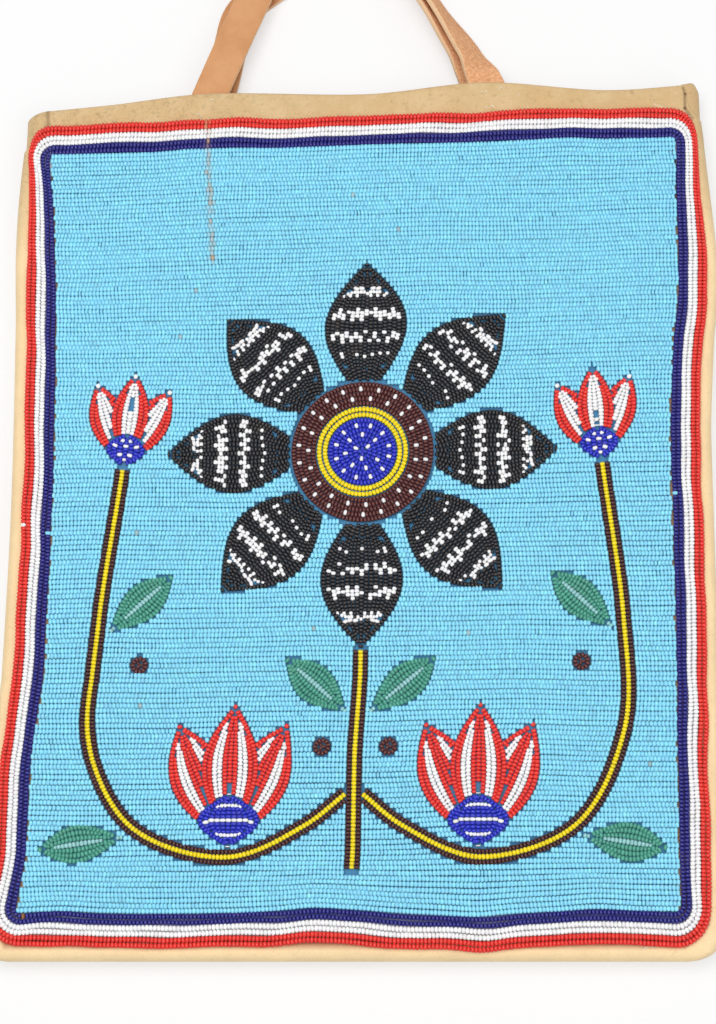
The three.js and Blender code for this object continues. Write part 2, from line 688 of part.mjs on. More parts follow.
function addLeavesAndBerries() {
  const clear = STEM_HALF + LEAF_SEAT;
  for (const [name, side] of [['left', -1], ['right', 1]]) {
    const mirrored = (angle) => (side > 0 ? angle : Math.PI - angle);
    const vine = vineCurve(side);
    const stemRoot = new THREE.Vector2(side * clear, STEM_TOP - STEM_LEAF_BELOW);
    addLeaf(`${name}_stem_leaf_beads`, stemRoot, mirrored(STEM_LEAF_ANGLE));
    const low = vine.getPoint(3 / 6);
    const lowRoot = new THREE.Vector2(low.x + side * clear / 2, low.y - clear);
    addLeaf(`${name}_low_leaf_beads`, lowRoot, mirrored(LOW_LEAF_ANGLE));
    const high = vine.getPoint(5 / 6);
    const highRoot = new THREE.Vector2(high.x - side * clear, high.y - clear);
    addLeaf(`${name}_high_leaf_beads`, highRoot, mirrored(HIGH_LEAF_ANGLE));
    addBerry(`${name}_stem_berry_beads`, side * BERRY_REACH, stemRoot.y - BERRY_REACH);
    addBerry(`${name}_vine_berry_beads`, highRoot.x - side * BERRY_REACH, highRoot.y - BERRY_REACH);
  }
}

// The ground's rows, three to a ridge, cut out where the spray's own rows lie.
function groundSolid() {
  const pitch = (GROUND.top - GROUND.bottom) / GROUND_RIDGES;
  const tops = rowTops(GROUND_RIDGES, pitch).map(([y, z]) => [GROUND.bottom + y, z]);
  const profile = [[GROUND.bottom, BEAD_BASE], ...tops, [GROUND.top, BEAD_BASE]];
  const beyond = GROUND.right + ROW_PITCH;
  const rows = solidOf(placed(carriedAlongX(profile, [-beyond, beyond]), layBeads));
  return rows.intersect(beadPocket(groundOutline(0))).subtract(taken);
}

// Assembly

const HIDE = { color: 0xdcc191, roughness: 0.92, metalness: 0 };
const LEATHER = { color: 0xd69b6a, roughness: 0.75, metalness: 0 };
const bead = (color) => ({ color, roughness: 0.25, metalness: 0 });

const bag = new THREE.Group();

function addPiece(name, geometry, look) {
  const mesh = new THREE.Mesh(geometry, new THREE.MeshStandardMaterial(look));
  mesh.name = name;
  bag.add(mesh);
}

addPiece('front_panel', geometryOf(panelSolid()), HIDE);
const backPanel = geometryOf(panelSolid()).scale(1, 1, -1).translate(0, 0, BAG_DEPTH);
addPiece('back_panel', facingOut(backPanel), HIDE);
addPiece('side_gusset', gussetGeometry(), HIDE);

const frontStrapZ = HEM_UNDER - SEAM_GAP - STRAP_THICKNESS / 2;
const frontStrap = strapStations({ ...FRONT_HANDLE, sewnZ: frontStrapZ });
addPiece('handle_front', strapGeometry(frontStrap), LEATHER);
const backStrap = strapStations({ ...BACK_HANDLE, sewnZ: BAG_DEPTH - frontStrapZ });
addPiece('handle_back', strapGeometry(backStrap), LEATHER);

addRosette();
addStems();
addFlowers();
addLeavesAndBerries();
addPiece('ground_beads', geometryOf(groundSolid()), bead(0x6ccdf5));
addPiece('border_navy_beads', borderRing(0), bead(0x241e78));
addPiece('border_white_beads', borderRing(ROWS_PER_COLOUR), bead(0xf7f7f7));
addPiece('border_red_beads', borderRing(2 * ROWS_PER_COLOUR), bead(0xe2402f));
for (const field of spray) {
  addPiece(field.name, field.geometry, bead(field.colour));
}

export default bag;
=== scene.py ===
"""The looks of a flat beaded hide bag that lies on its back: seed beads, suede, leather handles and thread.

Metres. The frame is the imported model's: the beaded face is up (+Z) and the mouth is towards +Y.
"""

import math
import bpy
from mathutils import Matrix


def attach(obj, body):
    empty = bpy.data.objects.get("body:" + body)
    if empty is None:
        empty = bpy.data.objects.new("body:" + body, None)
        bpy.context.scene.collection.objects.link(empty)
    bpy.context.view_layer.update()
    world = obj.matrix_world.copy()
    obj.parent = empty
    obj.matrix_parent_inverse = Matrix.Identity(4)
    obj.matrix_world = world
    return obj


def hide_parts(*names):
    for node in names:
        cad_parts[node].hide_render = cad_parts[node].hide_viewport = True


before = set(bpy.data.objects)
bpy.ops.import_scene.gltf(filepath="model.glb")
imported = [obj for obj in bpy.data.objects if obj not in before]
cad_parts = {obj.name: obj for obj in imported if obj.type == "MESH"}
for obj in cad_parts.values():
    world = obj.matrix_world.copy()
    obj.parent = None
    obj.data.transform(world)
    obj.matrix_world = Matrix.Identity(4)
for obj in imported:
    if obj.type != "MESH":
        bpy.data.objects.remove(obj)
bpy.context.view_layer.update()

import zlib

import bpy
import numpy as np
from mathutils import Vector

MM = 0.001

# Hide body
BAG_WIDTH = 286 * MM
BAG_HEIGHT = 356 * MM
BAG_DEPTH = 15 * MM
HIDE_THICKNESS = 1.3 * MM
EDGE_SHARE = 0.45
CORNER_RADIUS = 10 * MM
GUSSET_BULGE = 2.2 * MM
HEM_WIDTH = 12 * MM
SEAM_GAP = 0.3 * MM
ROLL_WIDTH = 3.6 * MM
ROLL_DROP = 5 * MM
LEFT_EAR = 8.2 * MM
RIGHT_EAR = 6.2 * MM
EAR_SEAT = 2.2 * MM
GUSSET_LOW = 4.4 * MM

# Bead rows
ROW_PITCH = 2 * MM
BEAD_PITCH = 1.48 * MM
CROWDED = 0.6
NARROW_RIM = 0.84 * MM
BEAD_WIDTH = 1.9 * MM
PROBE_STEP = 0.2 * MM
TRIANGLES_PER_BEAD = 28
PIECE_TRIANGLES = 190_000
ROWS_PER_COLOUR = 2
ROWS_PER_RIDGE = 3
FIELD_GAP = 0.3 * MM
HIDE_ABOVE_BORDER = 10.6 * MM
HIDE_BELOW_BORDER = 2.6 * MM
HIDE_BESIDE_BORDER = 2.6 * MM
GROUND_CORNER_RADIUS = 2.5 * MM

# How the rows and the mouth edge run out of square: waves are points of a share and a shift in mm
ROW_RISE = 0.03
BORDER_STRETCH = 1.1
BORDER_SQUEEZE = 0.25
MOUTH_PULL = 1.2 * MM
MOUTH_PULL_DEPTH = 88 * MM
MOUTH_WAVE = [(-1, -5), (-0.75, -2.2), (-0.45, 1.8), (0, -0.5), (0.35, 3.4), (0.75, -1.8), (1, 0)]
LEFT_WAVE = [(-1, -7.5), (-0.85, -4.4), (-0.62, -3.7), (-0.42, 0), (0.05, 1.2), (0.55, 0.2), (0.78, -1.8),
             (1, -4.8)]
RIGHT_WAVE = [(-1, -5), (-0.7, -4.3), (-0.35, -3.1), (0.2, -2.5), (0.45, 0.2), (0.6, 3), (0.8, 3.3), (1, 4)]
TOP_WAVE = [(-1, -1.1), (-0.67, -1.2), (-0.54, -0.3), (-0.41, -0.3), (-0.28, -0.8), (-0.14, -0.8), (0, -0.4),
            (0.38, -0.5), (0.52, -0.1), (0.65, 0.4), (0.78, -0.6), (1, -0.6)]
FOOT_WAVE = [(-1, -0.1), (-0.86, 0.6), (-0.74, -0.2), (-0.6, -0.6), (-0.35, -0.2), (-0.22, 0.5), (-0.1, 1.6),
             (0.02, 0.8), (0.14, -0.3), (0.26, -1.1), (0.38, -1.9), (0.5, -0.8), (0.62, 0), (0.75, 1.1),
             (0.87, 0.3), (1, 0)]
WAVE_REACH = 26 * MM
CORNER_SAG = 0.9 * MM

# Handles
STRAP_WIDTH = 14.6 * MM
STRAP_THICKNESS = 2.2 * MM
STRAP_SEWN_LENGTH = 24 * MM
STRAP_LEAN = 0.4
STRAP_EDGE_RADIUS = 0.6 * MM
LOOP_TOP_RADIUS = 11 * MM
HANDLE_NESTING = 23 * MM
FRONT_HANDLE = {
    "topX": -16 * MM,
    "leftX": -65 * MM,
    "rightX": 54 * MM,
    "reach": 107 * MM,
    "leftLeg": [(0.05, 0.04, 0, 0), (0.25, 0.21, 0.1, 0.01), (0.47, 0.4, 0.3, 0.03),
                (0.66, 0.57, 0.3, 0.18), (0.86, 0.74, 1, 0.43)],
    "rightLeg": [(0.05, 0.03, 0, 1), (0.19, 0.13, 0.3, 0.76), (0.4, 0.33, 0.45, 0.66),
                 (0.62, 0.53, 0.8, 0.64), (0.84, 0.72, 1, 0.57)],
}
BACK_HANDLE = {
    "topX": -8 * MM,
    "leftX": -64 * MM,
    "rightX": 52 * MM,
    "reach": FRONT_HANDLE["reach"] - HANDLE_NESTING,
    "leftLeg": [(0.05, 0.04, 0, 0), (0.3, 0.12, 0.5, 0), (0.5, 0.2, 0.9, 0), (0.65, 0.44, 1, 0),
                (0.83, 0.89, 1, 0.17)],
    "rightLeg": [(0.05, 0.03, 0, 1), (0.3, 0.2, 1, 0.8), (0.52, 0.41, 1, 0.68), (0.74, 0.6, 1, 0.62),
                 (0.9, 0.79, 1, 0.55)],
}

# Ends of white thread that lie on the hide: x and y in mm, the way they point in degrees, length in mm
THREAD_ENDS = [
    (-63.7, 174.5, 200, 2.2), (-68.4, 166.5, 80, 1.6), (-69.5, 168, 130, 1.4), (49.5, 177.9, 30, 1.6),
    (51.4, 178.3, 340, 1.3), (57.5, 179.5, 15, 2.4), (64.8, 176.8, 60, 1.4), (51.6, 171, 5, 2.6),
    (53.8, 171.4, 160, 2.2), (68.7, 170.7, 100, 1.8), (107, -173.6, 10, 3), (110.4, -173, 170, 2.4),
]
THREAD_THICKNESS = 0.32 * MM
THREAD_SEAT = 0.15 * MM
THREAD_LIFT = 0.4 * MM
THREAD_SWAY = 0.12
THREAD_RINGS = 7
THREAD_SIDES = 5

# Floral spray
ROSETTE_HEIGHT = 182 * MM
ROSETTE_RADIUS = 80 * MM
PETAL_COUNT = 8
PETAL_WIDTH = 33 * MM
PETAL_ROOT_RADIUS = 30 * MM
CENTRE_RADIUS = 14 * MM
RING_WIDTH = 5 * MM
RING_ROW_INSET = 1.3 * MM
ROOT_ROW_INSET = 1.1 * MM
STEM_ROWS = 3
VINE_ROUTE = [(0, 0.155), (0.18, 0.077), (0.46, 0), (0.82, 0.077), (1, 0.31), (1, 0.594), (0.93, 1)]
STEM_FOOT_HEIGHT = 16 * MM
VINE_HEIGHT = 21 * MM
VINE_SIDE_MARGIN = 21 * MM
VINE_BELOW_ROSETTE = 6 * MM
TULIP_LENGTH = 0.308 * ROSETTE_HEIGHT
TULIP_PETAL_WIDTH = 22 * MM
FLOWER_SPREAD = 0.42
CUP_LENGTH = 21 * MM
CUP_WIDTH = 24 * MM
BUD_LENGTH = 40 * MM
BUD_PETAL_WIDTH = 15 * MM
BUD_CUP_LENGTH = 15 * MM
BUD_CUP_WIDTH = 16 * MM
LEAF_LENGTH = 34 * MM
LEAF_WIDTH = 15 * MM
LEAF_SEAT = 1 * MM
STEM_LEAF_BELOW = 25 * MM
STEM_LEAF_ANGLE = 0.7
LOW_LEAF_ANGLE = -0.15
HIGH_LEAF_ANGLE = 2.4
BERRY_REACH = 13 * MM
BERRY_RADIUS = 3.75 * MM

# Worked out from the sizes above
PANEL_HALF_WIDTH = BAG_WIDTH / 2 - GUSSET_BULGE
PANEL_BOTTOM = -BAG_HEIGHT / 2 + GUSSET_BULGE
MOUTH_Y = BAG_HEIGHT / 2
BORDER_WIDTH = 3 * ROWS_PER_COLOUR * ROW_PITCH
BORDER_TOP = MOUTH_Y - HIDE_ABOVE_BORDER
GROUND_RIGHT = PANEL_HALF_WIDTH - HIDE_BESIDE_BORDER - BORDER_WIDTH
GROUND_BOTTOM = PANEL_BOTTOM + HIDE_BELOW_BORDER + BORDER_WIDTH * BORDER_STRETCH
GROUND_TOP = BORDER_TOP - BORDER_WIDTH * BORDER_STRETCH
GROUND_MIDDLE = (GROUND_TOP + GROUND_BOTTOM) / 2
GROUND_HALF_HEIGHT = (GROUND_TOP - GROUND_BOTTOM) / 2
GROUND_ROWS = ROWS_PER_RIDGE * math.ceil((GROUND_TOP - GROUND_BOTTOM) / (ROW_PITCH * ROWS_PER_RIDGE))
BEAD_CENTRE_Z = BAG_DEPTH + SEAM_GAP + BEAD_WIDTH / 2
ROSETTE_Y = GROUND_BOTTOM + ROSETTE_HEIGHT
RING_RADIUS = CENTRE_RADIUS + RING_WIDTH
STEM_TOP = ROSETTE_Y - ROSETTE_RADIUS - 2 * FIELD_GAP
STEM_FOOT = GROUND_BOTTOM + STEM_FOOT_HEIGHT
STEM_HALF = STEM_ROWS * ROW_PITCH / 2
VINE_LOW = GROUND_BOTTOM + VINE_HEIGHT
VINE_SIDE = GROUND_RIGHT - VINE_SIDE_MARGIN
VINE_TOP = ROSETTE_Y - VINE_BELOW_ROSETTE


def srgb(red, green, blue):
    """A colour as seen on a screen, 0 to 255 a channel, as linear light."""
    share = np.array([red, green, blue]) / 255
    return np.where(share <= 0.04045, share / 12.92, ((share + 0.055) / 1.055) ** 2.4)


# Bead glass
SKY = srgb(146, 227, 255)
NAVY = srgb(29, 29, 122)
WHITE = srgb(251, 250, 251)
RED = srgb(232, 52, 42)
BLACK = srgb(24, 23, 27)
DARK_RED = srgb(82, 30, 26)
ROYAL = srgb(36, 46, 190)
YELLOW = srgb(246, 222, 14)
GREEN = srgb(76, 158, 138)
PALE_GREEN = srgb(150, 205, 205)
AMBER = srgb(140, 90, 40)
STAIN = srgb(196, 158, 116)
# Painted shade between the beads, tinted by each field's glass; the bare edge's hide in painted shade
SKY_GAP_SHADE = srgb(76, 134, 174)
NAVY_GAP_SHADE = srgb(24, 24, 62)
WHITE_GAP_SHADE = srgb(224, 217, 228)
RED_GAP_SHADE = srgb(148, 50, 38)
BARE_EDGE = srgb(176, 142, 112)
STAIN_TOP = (-66 * MM, 168 * MM)
STAIN_FOOT = (-62.2 * MM, 103.5 * MM)
# Creases in the hide beside the ears, each from a point to a point with a reach to either side: bumped in,
# with painted shade along them
CREASES = [
    ((-132.6 * MM, 170 * MM), (-132.2 * MM, 162 * MM), 1.5 * MM),
    ((134.2 * MM, 180 * MM), (134.9 * MM, 177 * MM), 0.8 * MM),
    ((134.9 * MM, 177 * MM), (134.7 * MM, 170.7 * MM), 0.9 * MM),
    ((134.7 * MM, 170.7 * MM), (137.6 * MM, 166.5 * MM), 1.2 * MM),
]
# A fold ridge at the top right, from a point to a point with a reach: bumped up and painted lighter as a
# highlight
FOLD = ((121.9 * MM, 172.4 * MM), (136.6 * MM, 166.8 * MM), 1.6 * MM)
# Beads of another colour, by field and place in mm
ODD_BEADS = [
    ("border_red", -137, -8.5, WHITE), ("border_navy", -126, -11, SKY), ("border_navy", 125, 5, SKY),
    ("border_navy", -130.5, -160, AMBER),
]


# Curves and placing

def smoothstep(value, low, high):
    """0 below low, 1 above high, and 3t^2 - 2t^3 between them."""
    t = np.clip((value - low) / (high - low), 0, 1)
    return t * t * (3 - 2 * t)


def smooth_line(points, shares):
    """A centripetal Catmull-Rom curve: each span takes an equal share of 0 to 1, and its slope at a point
    weighs the two neighbouring chords by the square roots of their lengths."""
    points = np.asarray(points, float)
    knots = np.vstack([2 * points[0] - points[1], points, 2 * points[-1] - points[-2]])
    gaps = np.maximum(np.linalg.norm(np.diff(knots, axis=0), axis=1) ** 0.5, 1e-9)
    place = np.clip(shares, 0, 1) * (len(points) - 1)
    span = np.minimum(place.astype(int), len(points) - 2)
    t = (place - span)[:, None]
    p0, p1, p2, p3 = (knots[span + i] for i in range(4))
    d0, d1, d2 = (gaps[span + i][:, None] for i in range(3))
    slope1 = ((p1 - p0) / d0 - (p2 - p0) / (d0 + d1) + (p2 - p1) / d1) * d1
    slope2 = ((p2 - p1) / d1 - (p3 - p1) / (d1 + d2) + (p3 - p2) / d2) * d1
    bend = 3 * (p2 - p1) - 2 * slope1 - slope2
    return p1 + slope1 * t + bend * t ** 2 + (2 * (p1 - p2) + slope1 + slope2) * t ** 3


def wave(knots, share):
    """The height of the smooth curve through a wave's points, at a share between its first and its last."""
    knots = np.array(knots, float)
    place = np.clip(np.ravel(share), knots[0, 0], knots[-1, 0])
    along = np.interp(place, knots[:, 0], np.linspace(0, 1, len(knots)))
    return smooth_line(knots, along)[:, 1].reshape(np.shape(share)) * MM


def side_shift(x, y):
    """How far the ground's edges carry a point sideways: the left edge's wave and the right edge's, mixed
    by its way across."""
    share = (y - GROUND_MIDDLE) / GROUND_HALF_HEIGHT
    across = np.clip(x / GROUND_RIGHT / 2 + 0.5, 0, 1)
    return wave(LEFT_WAVE, share) * (1 - across) + wave(RIGHT_WAVE, share) * across


def row_rise(x, y):
    """Rows climb to the right in proportion to the height on the bag."""
    return ROW_RISE * x * (y + BAG_HEIGHT / 2) / BAG_HEIGHT


def lay_hide(points):
    """The sides follow the ground's but draw in at the mouth, and the mouth edge waves."""
    x, y, z = np.moveaxis(points, -1, 0)
    drawn_in = smoothstep(y, MOUTH_Y - MOUTH_PULL_DEPTH, BORDER_TOP)
    shift = side_shift(x, y) * (1 - drawn_in) - MOUTH_PULL * x / PANEL_HALF_WIDTH * drawn_in
    lift = wave(MOUTH_WAVE, x / (BAG_WIDTH / 2)) * smoothstep(y, BORDER_TOP, MOUTH_Y)
    return np.stack([x + shift, y + row_rise(x, y) + lift, z], axis=-1)


def lay_beads(x, y):
    """Rows follow the ground's edges. The border is squeezed at the two top corners by the square of the way
    out, and stretched above and below the ground, where its rows also waver."""
    squeezed = smoothstep(y, MOUTH_Y - MOUTH_PULL_DEPTH, GROUND_TOP)
    beside = np.maximum(np.abs(x) - GROUND_RIGHT, 0)
    beyond = np.maximum(np.abs(y - GROUND_MIDDLE) - GROUND_HALF_HEIGHT, 0)
    laid_x = x + side_shift(x, y) - np.sign(x) * BORDER_SQUEEZE * squeezed * beside ** 2 / BORDER_WIDTH
    laid_y = y + np.sign(y - GROUND_MIDDLE) * (BORDER_STRETCH - 1) * beyond
    laid_y = laid_y + row_rise(laid_x, laid_y)
    laid_y = laid_y + wave(TOP_WAVE, x / GROUND_RIGHT) * smoothstep(y, GROUND_TOP - WAVE_REACH, GROUND_TOP)
    foot = smoothstep(-y, -GROUND_BOTTOM - WAVE_REACH, -GROUND_BOTTOM)
    return laid_x, laid_y + wave(FOOT_WAVE, x / GROUND_RIGHT) * foot


def draws(name):
    """The same random numbers for a piece on every run."""
    return np.random.default_rng(zlib.crc32(name.encode()))


# Meshes

def new_piece(name, points, blocks, material, attributes=()):
    """A mesh object from points and blocks of faces, each block an array with one face a row."""
    corners = np.concatenate([block.ravel() for block in blocks]).astype(np.int32)
    sizes = np.concatenate([np.full(len(block), block.shape[1]) for block in blocks])
    mesh = bpy.data.meshes.new(name)
    mesh.vertices.add(len(points))
    mesh.vertices.foreach_set("co", np.ravel(points).astype(np.float32))
    mesh.loops.add(len(corners))
    mesh.loops.foreach_set("vertex_index", corners)
    mesh.polygons.add(len(sizes))
    mesh.polygons.foreach_set("loop_start", np.concatenate([[0], np.cumsum(sizes)[:-1]]).astype(np.int32))
    mesh.polygons.foreach_set("use_smooth", np.ones(len(sizes), bool))
    mesh.update(calc_edges=True)
    for title, values in attributes:
        kind = "FLOAT_COLOR" if values.ndim == 2 else "FLOAT"
        layer = mesh.attributes.new(title, kind, "POINT")
        layer.data.foreach_set("color" if values.ndim == 2 else "value", np.ravel(values).astype(np.float32))
    mesh.materials.append(material)
    piece = bpy.data.objects.new(name, mesh)
    bpy.context.scene.collection.objects.link(piece)
    return piece


def plan_map(piece):
    """A UV map that looks straight down on the piece, scaled to its longer side."""
    mesh = piece.data
    points = np.empty(len(mesh.vertices) * 3, np.float32)
    mesh.vertices.foreach_get("co", points)
    plan = points.reshape(-1, 3)[:, :2]
    low = plan.min(0)
    corners = np.empty(len(mesh.loops), np.int32)
    mesh.loops.foreach_get("vertex_index", corners)
    placed = (plan - low) / (plan - low).max()
    mesh.uv_layers.new(name="OFBake").data.foreach_set("uv", placed[corners].ravel())


def settle(piece, slot, *nodes):
    """The piece rides on the bag and stands for its nodes, which it hides. Its slot is not used."""
    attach(piece, "root")
    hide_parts(*nodes)
    return piece


def grid_faces(rows, columns, first=0, turned=False):
    """Quads over a grid of points counted row by row."""
    corner = (np.arange(rows - 1)[:, None] * columns + np.arange(columns - 1)).ravel() + first
    quads = np.stack([corner, corner + 1, corner + columns + 1, corner + columns], axis=1)
    return quads[:, ::-1] if turned else quads


def tube_faces(rings, sides, first=0):
    """Walls and two end caps of a tube whose points go ring by ring, each ring anticlockwise about the way
    that the tube runs."""
    low = np.arange(rings - 1)[:, None] * sides + first
    corner = (low + np.arange(sides)).ravel()
    after = (low + (np.arange(sides) + 1) % sides).ravel()
    walls = np.stack([corner, after, after + sides, corner + sides], axis=1)
    start = np.arange(sides) + first
    return walls, np.stack([start[::-1], start + (rings - 1) * sides])


def hide_sheet(middle):
    """A closed sheet of hide about a grid of points: both faces stand half a thickness from it, less at its
    four edges, along its normal, which is the cross product of its two slopes. A rim joins the faces."""
    rows, columns = middle.shape[:2]
    half = np.full((rows, columns), HIDE_THICKNESS / 2)
    half[[0, -1], :] *= EDGE_SHARE
    half[:, [0, -1]] *= EDGE_SHARE
    across = np.gradient(middle, axis=1)
    normal = np.cross(across, np.gradient(middle, axis=0))
    normal /= np.linalg.norm(normal, axis=-1, keepdims=True)
    count = rows * columns
    points = np.concatenate([(middle + normal * half[..., None]).reshape(-1, 3),
                             (middle - normal * half[..., None]).reshape(-1, 3)])
    index = np.arange(count).reshape(rows, columns)
    rim = np.concatenate([index[0], index[1:, -1], index[-1, -2::-1], index[-2:0:-1, 0]])
    after = np.roll(rim, -1)
    walls = np.stack([rim, after, after + count, rim + count], axis=1)
    return points, [grid_faces(rows, columns), grid_faces(rows, columns, count, turned=True),
                    walls[:, ::-1]]


# Looks

class Value:
    """A number that varies over a surface. Arithmetic on it adds Math nodes to its look."""

    def __init__(self, look, socket):
        self.look = look
        self.socket = socket

    def with_other(self, operation, other, flipped=False):
        pair = (other, self) if flipped else (self, other)
        return self.look.node("ShaderNodeMath", {"operation": operation}, *pair)

    def __add__(self, other):
        return self.with_other("ADD", other)

    def __radd__(self, other):
        return self.with_other("ADD", other, True)

    def __sub__(self, other):
        return self.with_other("SUBTRACT", other)

    def __rsub__(self, other):
        return self.with_other("SUBTRACT", other, True)

    def __mul__(self, other):
        return self.with_other("MULTIPLY", other)

    def __rmul__(self, other):
        return self.with_other("MULTIPLY", other, True)

    def __truediv__(self, other):
        return self.with_other("DIVIDE", other)

    def __pow__(self, other):
        return self.with_other("POWER", other)

    def clipped(self):
        return self.look.node("ShaderNodeClamp", {}, self)


class Shading:
    """A tree of shader nodes, which all come from node()."""

    def __init__(self, tree):
        self.tree = tree

    def feed(self, socket, value):
        if isinstance(value, Value):
            self.tree.links.new(value.socket, socket)
        elif np.ndim(value) == 1 and len(value) == 3 and socket.type == "RGBA":
            socket.default_value = (*map(float, value), 1)
        else:
            socket.default_value = value

    def node(self, kind, settings, *values, output=0, sockets=None, **named):
        """A node of a kind, with its settings made first and then its sockets, by order, by number or by
        name."""
        made = self.tree.nodes.new(kind)
        for title, value in settings.items():
            setattr(made, title, value)
        for socket, value in zip(made.inputs, values):
            self.feed(socket, value)
        for number, value in (sockets or {}).items():
            self.feed(made.inputs[number], value)
        for title, value in named.items():
            self.feed(made.inputs[title.replace("_", " ")], value)
        return Value(self, made.outputs[output])


class Look(Shading):
    """A material of one Principled shader."""

    def __init__(self, name, roughness, **constants):
        self.material = bpy.data.materials.new(name)
        self.material.use_nodes = True
        super().__init__(self.material.node_tree)
        self.shader = self.tree.nodes["Principled BSDF"]
        self.shader.inputs["Roughness"].default_value = roughness
        for socket, value in constants.items():
            self.shader.inputs[socket.replace("_", " ")].default_value = value

    def place(self):
        return self.node("ShaderNodeTexCoord", {}, output="Object")

    def noise(self, size, detail=2, roughness=0.5, stretch=(1, 1, 1), seed=0):
        """Noise from 0 to 1 whose patches are about size across, longer along an axis by its stretch."""
        scale = tuple(1 / (size * s) for s in stretch)
        spot = self.node("ShaderNodeMapping", {}, self.place(), Location=(seed * 3.7, seed * 1.3, 0),
                         Scale=scale)
        return self.node("ShaderNodeTexNoise", {}, Vector=spot, Scale=1.0, Detail=float(detail),
                         Roughness=float(roughness))

    def attribute(self, title, output="Fac"):
        return self.node("ShaderNodeAttribute", {"attribute_name": title}, output=output)

    def axis(self, letter):
        return self.node("ShaderNodeSeparateXYZ", {}, self.place(), output=letter)

    def between(self, value, low, high):
        """0 where a value is at low and 1 where it is at high."""
        return self.node("ShaderNodeMapRange", {"interpolation_type": "SMOOTHSTEP"}, value,
                         From_Min=float(low), From_Max=float(high))

    def mix(self, share, first, second):
        """The first colour where a share is 0 and the second where it is 1."""
        return self.node("ShaderNodeMix", {"data_type": "RGBA"}, output=2,
                         sockets={0: share, 6: first, 7: second})

    def near(self, start, end, reach):
        """1 on a straight stretch and 0 beyond a reach from it, seen from above."""
        run_x, run_y = end[0] - start[0], end[1] - start[1]
        away_x, away_y = self.axis("X") - start[0], self.axis("Y") - start[1]
        share = ((away_x * run_x + away_y * run_y) / (run_x ** 2 + run_y ** 2)).clipped()
        beside_x, beside_y = away_x - share * run_x, away_y - share * run_y
        return 1 - self.between((beside_x * beside_x + beside_y * beside_y) ** 0.5, 0, reach)

    def colour(self, value):
        self.feed(self.shader.inputs["Base Color"], value)

    def rough(self, value):
        self.feed(self.shader.inputs["Roughness"], value)

    def bump(self, height, depth):
        """Raises the surface by a height from 0 to 1 times a depth."""
        self.feed(self.shader.inputs["Normal"], self.node(
            "ShaderNodeBump", {}, Strength=1.0, Distance=depth, Height=height))


def bead_look():
    """Opaque glass: each bead's own tint with a fine unevenness, glossy and a little dulled by handling."""
    look = Look("bead_glass", 0.24, Specular_IOR_Level=0.5)
    tint = look.attribute("tint", "Color")
    film = look.between(look.noise(9 * MM, 3, 0.6), 0.55, 0.8)
    cloud = look.noise(1.1 * MM, 1, 0.5, seed=2)
    shaded = look.mix(look.between(cloud, 0.3, 0.75) * 0.1, tint, srgb(70, 64, 70))
    look.colour(look.mix(film * 0.06, shaded, srgb(176, 150, 120)))
    look.rough(0.2 + cloud * 0.12 + film * 0.06)
    return look.material


def hide_look():
    """Smoked suede: cream lower down, tan and mottled towards the mouth, painted shade in the creases beside
    the ears and between the beads, a painted highlight along the fold at the top right, and a short nap."""
    look = Look("suede_hide", 0.92, Specular_IOR_Level=0.2, Sheen_Weight=0.12, Sheen_Roughness=0.5)
    cloud = look.noise(38 * MM, 3, 0.55)
    patch = look.noise(9 * MM, 3, 0.6, seed=1)
    nap = look.noise(0.55 * MM, 3, 0.7, seed=2)
    fibre = look.noise(0.35 * MM, 2, 0.6, stretch=(1, 6, 1), seed=3)
    mouth_band = look.between(look.axis("Y"), 0.1, 0.165)
    mouth_graded = look.mix(mouth_band, srgb(252, 224, 176), srgb(211, 181, 134))
    warm = look.mix(look.between(cloud, 0.35, 0.7) * (0.3 + mouth_band * 0.3), mouth_graded, srgb(212, 176, 126))
    soft = look.mix(look.between(patch, 0.4, 0.72) * 0.35, warm, srgb(230, 206, 164))
    mottle = look.between(look.noise(3.2 * MM, 4, 0.7, seed=4), 0.56, 0.72)
    worn = look.mix(mottle * (0.16 + mouth_band * 0.42), soft, srgb(180, 146, 102))
    speck = look.between(look.noise(0.9 * MM, 2, 0.6, seed=6), 0.64, 0.74) * mouth_band
    grime = look.between(look.noise(1.8 * MM, 4, 0.75, seed=7), 0.5, 0.66) * mouth_band
    grimy = look.mix(grime * look.between(look.axis("X"), 0.02, -0.1) * 0.6, worn, srgb(168, 146, 112))
    marked = look.mix(speck * 0.5, grimy, srgb(120, 96, 70))
    napped = look.mix(look.between(nap, 0.35, 0.75) * 0.16, marked, srgb(150, 120, 84))
    # Painted shade along the creases, which are also bumped in
    groove = sum((look.near(start, end, reach) for start, end, reach in CREASES), 0)
    crease_shaded = look.mix((groove * 0.55).clipped(), napped, srgb(122, 92, 64))
    # Painted highlight along the fold's ridge, which is also bumped up
    raised = look.near(*FOLD)
    lit = look.mix(raised * 0.35, crease_shaded, srgb(246, 226, 190))
    # Painted shade between the beads, flecked with shaded brown hide, where the beaded share is high
    fleck = look.between(look.noise(1.6 * MM, 2, 0.6, seed=5), 0.62, 0.72)
    painted_gap_shade = look.mix(fleck * 0.45, look.attribute("under", "Color"), srgb(150, 112, 96))
    look.colour(look.mix(look.attribute("beaded"), lit, painted_gap_shade))
    look.rough(0.86 + nap * 0.12)
    look.bump(nap * 0.7 + fibre * 0.3 - groove * 2.5 + raised * 2.5, 0.00022)
    return look.material


